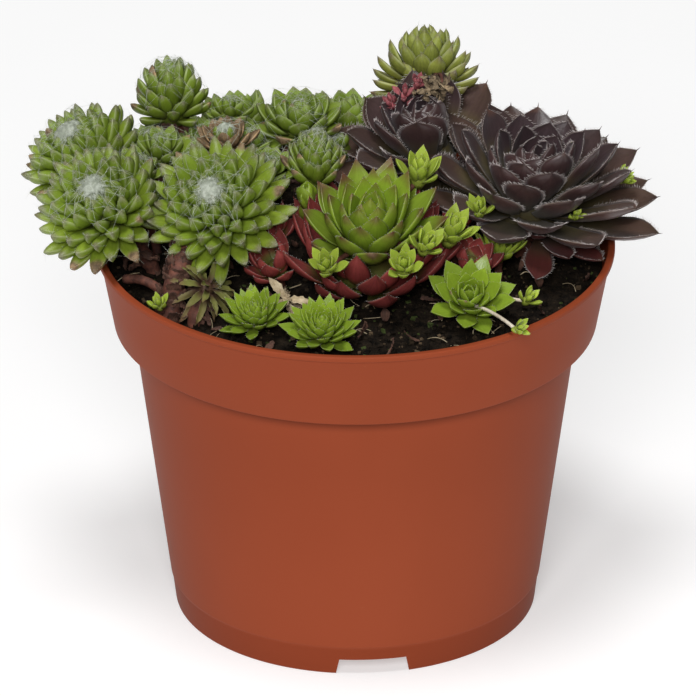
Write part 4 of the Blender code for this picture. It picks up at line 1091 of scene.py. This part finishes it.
def build_plants():
    """All heads of leaves: fine leaves replace the frame's nodes, hairs and threads are pieces of their own."""
    hair, wool, stems, pale = Heap(), Heap(), Heap(), Heap()
    # the frame's pot and soil, which no leaf may cross
    solid = []
    for node in ("pot", "soil"):
        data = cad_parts[node].data
        faces = [tuple(p.vertices) for p in data.polygons]
        solid.append(BVHTree.FromPolygons([v.co / MM for v in data.vertices], faces))
    trees = [body_trees(head, soil_at, stem, offsets) for _, _, head, soil_at, stem, offsets in PLANTS]
    for index, (node, slot, head, soil_at, stem, offsets) in enumerate(PLANTS):
        draw = random.Random(HEAD_SEED + index)
        others = solid + [item for i, group in enumerate(trees) if i != index for item in group]
        leaves, small = Heap(), Heap()
        for order, one in enumerate([head] + offsets):
            grown = grow_head(one, 100 * index + order, others, small if order else leaves, hair, wool, draw)
            trees[index] += grown
            if offsets:
                others += grown
        declare(leaves.build(node + "_leaves", head["material"]), slot, node)
        if offsets:
            declare(small.build(node + "_offsets", BUD_LEAF), "pale_leaf")
        if soil_at:
            path = smooth_path(stem_path(head, soil_at), 22)
            rough = 1 + 0.12 * np.sin(np.linspace(0, 19, 22)) + 0.05 * np.sin(np.linspace(0, 53, 22))
            tubes(stems, [path], stem * rough, 12, (0.0, draw.random(), 0.0))
        for one in offsets:
            # the runners of the front right offset are thin and pale
            thin = node == "front_right_rosette"
            path = runner_path(head["centre"], one["centre"], 12)
            tubes(pale if thin else stems, [path], 0.42 if thin else 0.6, 8, (0.0, draw.random(), 0.0))
    taken = solid + [item for group in trees for item in group]
    filler = {}
    for index, (slot, head, soil_at, stem) in enumerate(FILLERS):
        draw = random.Random(FILLER_SEED + index)
        material = head["material"]
        heap = filler.setdefault(material.name, (Heap(), material, slot))[0]
        taken += grow_head(head, FILLER_PLAN_SEED + index, taken, heap, hair, wool, draw)
        if soil_at:
            tubes(stems, [smooth_path(stem_path(head, soil_at), 14)], stem, 10, (0.0, draw.random(), 0.0))
    for heap, material, slot in filler.values():
        declare(heap.build("more_" + material.name.replace(" ", "_"), material), slot)
    for path, radius in RUNNERS:
        tubes(stems, [smooth_path(path, 16)], radius, 9, (0.0, 0.6, 0.0))
    declare(stems.build("stems", STALK), "dry_leaf")
    declare(pale.build("pale_runners", ROOT), "dry_leaf")
    return hair, wool


def add_dry_leaves(husk):
    """Skirts of withered leaves below the heads, litter on the soil and flakes on the bare stem."""
    draw = random.Random(DRY_SEED)
    # leaves in the skirt of each head, and their size
    amounts = {
        "dark_rosette": (12, 9), "dark_left_rosette": (10, 9), "cobweb_middle": (10, 8), "cobweb_left_front": (10, 8),
        "cobweb_left_back": (9, 8), "green_cup_rosette": (9, 8), "top_right_rosette": (16, 7),
        "top_left_rosette": (10, 6), "upright_rosette": (9, 6), "back_left_rosette": (8, 8),
        "back_right_rosette": (8, 8), "woolly_rosette": (8, 6), "thread_rosette": (8, 6), "small_top_rosette": (6, 5),
        "centre_red_ring": (8, 9), "withered_stem": (4, 6),
    }
    for node, _, head, soil_at, stem, _ in PLANTS:
        if node not in amounts:
            continue
        number, size = amounts[node]
        add_skirt(husk, head, number, draw, size)
        path = smooth_path(stem_path(head, soil_at), 12)
        for place in path[4:10]:
            if place[2] < soil_height(place[0], place[1]) + 2:
                continue
            collar = dict(head, centre=tuple(place), axis=(0, 0, 1), core=(stem, stem))
            add_skirt(husk, collar, 3, draw, size * 0.75, (-20, 70))
    for index in range(LITTER):
        turn, radius = index * GOLDEN_ANGLE, LITTER_REACH * math.sqrt((index + 0.5) / LITTER)
        x, y = radius * math.cos(turn), radius * math.sin(turn)
        scrap = {
            "azimuth": draw.uniform(0, 6.28), "latitude": 0.0, "pitch": math.radians(draw.uniform(-5, 50)),
            "length": draw.uniform(2.2, 5.4), "width": draw.uniform(1.0, 2.4), "thick": 0.35,
            "curl": math.radians(draw.uniform(20, 110)), "age": 0.0, "chance": draw.random(), "dead": 1.0,
        }
        shape = dict(fine="torn", top=0.0, belly=0.4, keel=0.0, cup=draw.uniform(-0.1, 0.4), core=(0.5, 0.5))
        spot = Matrix.Translation((x, y, float(soil_height(x, y)) + LITTER_LIFT))
        fine_leaf(husk, shape, scrap, 0.0, 1.0, draw, spot, warp=draw.uniform(0.2, 0.7))
    for place in smooth_path(RUNNERS[0][0], 12)[1:]:
        collar = dict(PLANTS[-1][2], centre=tuple(place), axis=(0.2, 0.2, 0.96), core=(3.4, 3.4))
        add_skirt(husk, collar, 6, draw, 4.8, (-86, -60), 0.75)


def scattered(rng, radius):
    """A random place on the soil, evenly spread within a radius."""
    away, turn = radius * math.sqrt(rng.uniform()), rng.uniform(0, 2 * np.pi)
    return away * math.cos(turn), away * math.sin(turn)


def build_soil():
    """A closed bed with a crumbly top, crumbs, fibres and specks of moss on it."""
    rng = np.random.default_rng(SOIL_SEED)
    bed, crumbs, fibres = Heap(), Heap(), Heap()
    angle = around(SOIL_SIDES)
    floor, ledge_in, ledge_out = (r - WALL - GAP for r in (FOOT_LINE_RADIUS, BODY_TOP_RADIUS, BAND_BOTTOM_RADIUS))
    low = BAND_BOTTOM + WALL
    profile = [(floor, FLOOR_TOP + GAP), (ledge_in, low), (ledge_in, low + GAP), (ledge_out, low + GAP)]
    rings = [circle(r, z, angle) for r, z in profile]
    for step in range(SOIL_RINGS):
        radius = SOIL_EDGE * (1 - step / SOIL_RINGS)
        x, y = radius * np.cos(angle), radius * np.sin(angle)
        lumps = 0.9 * np.sin(x * 0.9 + 1.3 * np.sin(y * 0.7)) * np.cos(y * 0.8) + rng.normal(0, 0.35, SOIL_SIDES)
        rings.append(circle(radius, soil_height(x, y) + 0.45 * lumps * min(1.0, step / 3), angle))
    tris = np.concatenate([fan(SOIL_SIDES), cone(len(rings), SOIL_SIDES)])
    stack = np.concatenate(rings + [[(0, 0, float(soil_height(0.0, 0.0)))]])
    bed.add(stack, ring_quads(len(rings), SOIL_SIDES), tris, life=(0.5, 0.3, 0.0))
    declare(bed.build("soil_bed", PEAT), "peat", "soil")
    cube = np.array([(x, y, z) for x in (-1, 1) for y in (-1, 1) for z in (-1, 1)], float)
    cube_faces = np.array([(0, 1, 3, 2), (4, 6, 7, 5), (0, 4, 5, 1), (2, 3, 7, 6), (0, 2, 6, 4), (1, 5, 7, 3)])
    for _ in range(CRUMBS):
        x, y = scattered(rng, CRUMB_REACH)
        size = 0.2 + 0.62 * rng.uniform() ** 3.5
        spin = Matrix.Rotation(rng.uniform(0, 6.3), 3, Vector(rng.normal(size=3)))
        shape = cube * rng.uniform(0.55, 1.0, (8, 3))
        shape = shape * (size, size * rng.uniform(0.6, 1.0), size * rng.uniform(0.5, 0.9))
        place = np.array([x, y, float(soil_height(x, y)) + size * rng.uniform(0.0, 0.7)])
        moss = 1.0 if rng.uniform() < 0.05 else 0.0
        crumbs.add(shape @ np.array(spin).T + place, cube_faces, (), (0, 0, 1), (0.5, rng.uniform(), moss))
    declare(crumbs.build("soil_crumbs", PEAT, smooth=False), "peat")
    t = np.linspace(0, 1, 8)
    for _ in range(FIBRES):
        x, y = scattered(rng, FIBRE_REACH)
        heading, length, bend = rng.uniform(0, 6.3), rng.uniform(2.0, 7.5), rng.uniform(-1.8, 1.8)
        xs = x + np.cumsum(np.cos(heading + bend * t)) * length / 8
        ys = y + np.cumsum(np.sin(heading + bend * t)) * length / 8
        if np.hypot(xs, ys).max() >= FIBRE_END:
            continue
        zs = soil_height(xs, ys) + 0.55 + 0.5 * np.sin(t * np.pi) * rng.uniform(0, 1.4)
        tubes(fibres, [np.stack([xs, ys, zs], -1)], rng.uniform(0.04, 0.13), 5, (0.0, rng.uniform(), 0.0))
    declare(fibres.build("soil_fibres", STRAW), "dry_leaf")


def rounded(points):
    """A profile with its corners rounded by small arcs."""
    points = [np.array(p, float) for p in points]
    made = [points[0]]
    for before, corner, after in zip(points, points[1:], points[2:]):
        a, b = before - corner, after - corner
        reach = min(CORNER_RADIUS, np.linalg.norm(a) * 0.45, np.linalg.norm(b) * 0.45)
        start, end = corner + a / np.linalg.norm(a) * reach, corner + b / np.linalg.norm(b) * reach
        for t in np.linspace(0, 1, CORNER_STEPS):
            made.append(start * (1 - t) ** 2 + corner * 2 * t * (1 - t) + end * t**2)
    return made + [points[-1]]


def build_pot():
    """The moulded shell, with its foot notches and drain holes cut out."""
    curve = rounded([
        (AXIS_RADIUS, FLOOR_BOTTOM), (FOOT_RADIUS - FOOT_WIDTH + FOOT_TAPER, FLOOR_BOTTOM),
        (FOOT_RADIUS - FOOT_WIDTH, 0), (FOOT_RADIUS, 0),
        (FOOT_LINE_RADIUS - 0.28, FOOT_LINE - 0.5), (FOOT_LINE_RADIUS, FOOT_LINE),
        (BODY_TOP_RADIUS, BAND_BOTTOM), (BAND_BOTTOM_RADIUS, BAND_BOTTOM),
        (BAND_TOP_RADIUS, POT_HEIGHT - LIP_HEIGHT), (RIM_RADIUS, POT_HEIGHT - LIP_HEIGHT), (RIM_RADIUS, POT_HEIGHT),
        (RIM_RADIUS - LIP_WIDTH, POT_HEIGHT), (BAND_BOTTOM_RADIUS - WALL, BAND_BOTTOM + WALL),
        (BODY_TOP_RADIUS - WALL, BAND_BOTTOM + WALL), (FOOT_LINE_RADIUS - WALL, FLOOR_TOP),
        (AXIS_RADIUS, FLOOR_TOP),
    ])
    profile = []
    for low, high in zip(curve, curve[1:]):
        cuts = max(1, int(np.linalg.norm(high - low) / POT_RING_SPACING))
        profile += [low + (high - low) * k / cuts for k in range(cuts)]
    shell, cutters = Heap(), Heap()
    spun(shell, profile + [curve[-1]], None, POT_SIDES)
    pot = shell.build("pot_shell", PLASTIC)
    widening = (NOTCH_BOTTOM_WIDTH - NOTCH_TOP_WIDTH) / NOTCH_HEIGHT
    for index in range(NOTCH_COUNT):
        angle = NOTCH_ANGLE + 2 * np.pi / NOTCH_COUNT * index
        c, s = math.cos(angle), math.sin(angle)
        corners = []
        for height in (-CUTTER_MARGIN, NOTCH_HEIGHT):
            half = (NOTCH_TOP_WIDTH + widening * (NOTCH_HEIGHT - height)) / 2
            for x, y in ((NOTCH_FROM, -half), (NOTCH_TO, -half), (NOTCH_TO, half), (NOTCH_FROM, half)):
                corners.append((x * c - y * s, x * s + y * c, height))
        cutters.add(corners, [(3, 2, 1, 0), (4, 5, 6, 7), (0, 1, 5, 4), (1, 2, 6, 5), (2, 3, 7, 6), (3, 0, 4, 7)])
    drain = [(DRAIN_RADIUS, FLOOR_BOTTOM - CUTTER_MARGIN), (DRAIN_RADIUS, FLOOR_TOP + CUTTER_MARGIN)]
    for index in range(DRAIN_COUNT):
        angle = NOTCH_ANGLE + 2 * np.pi * index / DRAIN_COUNT
        place = (DRAIN_RING_RADIUS * math.cos(angle), DRAIN_RING_RADIUS * math.sin(angle), 0)
        spun(cutters, drain, Matrix.Translation(place), DRAIN_SIDES)
    cutter = cutters.build("pot_cutters", PLASTIC)
    modifier = pot.modifiers.new("cuts", "BOOLEAN")
    modifier.operation, modifier.solver, modifier.object = "DIFFERENCE", "EXACT", cutter
    graph = bpy.context.evaluated_depsgraph_get()
    mesh = bpy.data.meshes.new_from_object(pot.evaluated_get(graph))
    pot.modifiers.clear()
    pot.data = mesh
    bpy.data.objects.remove(cutter)
    mesh.polygons.foreach_set("use_smooth", np.full(len(mesh.polygons), True))
    mesh.set_sharp_from_angle(angle=SHARP_ANGLE)
    declare(pot, "pot", "pot")


def build_studio():
    """Floor, light and camera of the photo."""
    scene = bpy.context.scene
    scene.view_settings.view_transform = "Standard"
    world = bpy.data.worlds.new("studio")
    world.use_nodes = True
    scene.world = world
    sky = world.node_tree.nodes["Background"].inputs
    sky[0].default_value, sky[1].default_value = (1.0, 1.0, 1.0, 1.0), WORLD_LIGHT
    floor = Heap()
    low, high = -STUDIO_DEPTH, -STUDIO_GAP
    spun(floor, [(0.01, low), (STUDIO_RADIUS, low), (STUDIO_RADIUS, high), (0.01, high)], None, 64)
    g = Graph("studio floor")
    pale = g.finish(
        g.mix((0.59, 0.59, 0.59), (0.61, 0.61, 0.61), g.noise(20, 3)), 0.8,
        Specular_IOR_Level=0.1, Emission_Color=(1.0, 1.0, 1.0), Emission_Strength=FLOOR_GLOW,
    )
    ground = floor.build("studio_floor", pale, smooth=False)
    for name, (place, size, power) in LIGHTS.items():
        data = bpy.data.lights.new(name, "AREA")
        data.shape, data.size, data.energy = "DISK", size, power
        lamp = bpy.data.objects.new(name, data)
        lamp.location = place
        lamp.rotation_euler = (Vector(AIM) - Vector(place)).to_track_quat("-Z", "Y").to_euler()
        scene.collection.objects.link(lamp)
    lens = bpy.data.cameras.new("photo camera")
    lens.sensor_width, lens.lens = 36.0, CAMERA_LENS
    lens.clip_start, lens.clip_end = 0.1, 20.0
    camera = bpy.data.objects.new("photo camera", lens)
    camera.location, camera.rotation_euler = CAMERA_PLACE, (CAMERA_PITCH, 0.0, 0.0)
    scene.collection.objects.link(camera)
    scene.camera = camera


def main():
    build_studio()
    build_pot()
    build_soil()
    hair, wool = build_plants()
    husk = Heap()
    add_dry_leaves(husk)
    declare(hair.build("leaf_hairs", HAIR), "dry_leaf")
    declare(wool.build("cobweb_wool", WOOL), "dry_leaf")
    declare(husk.build("dry_leaves", HUSK), "dry_leaf")


main()
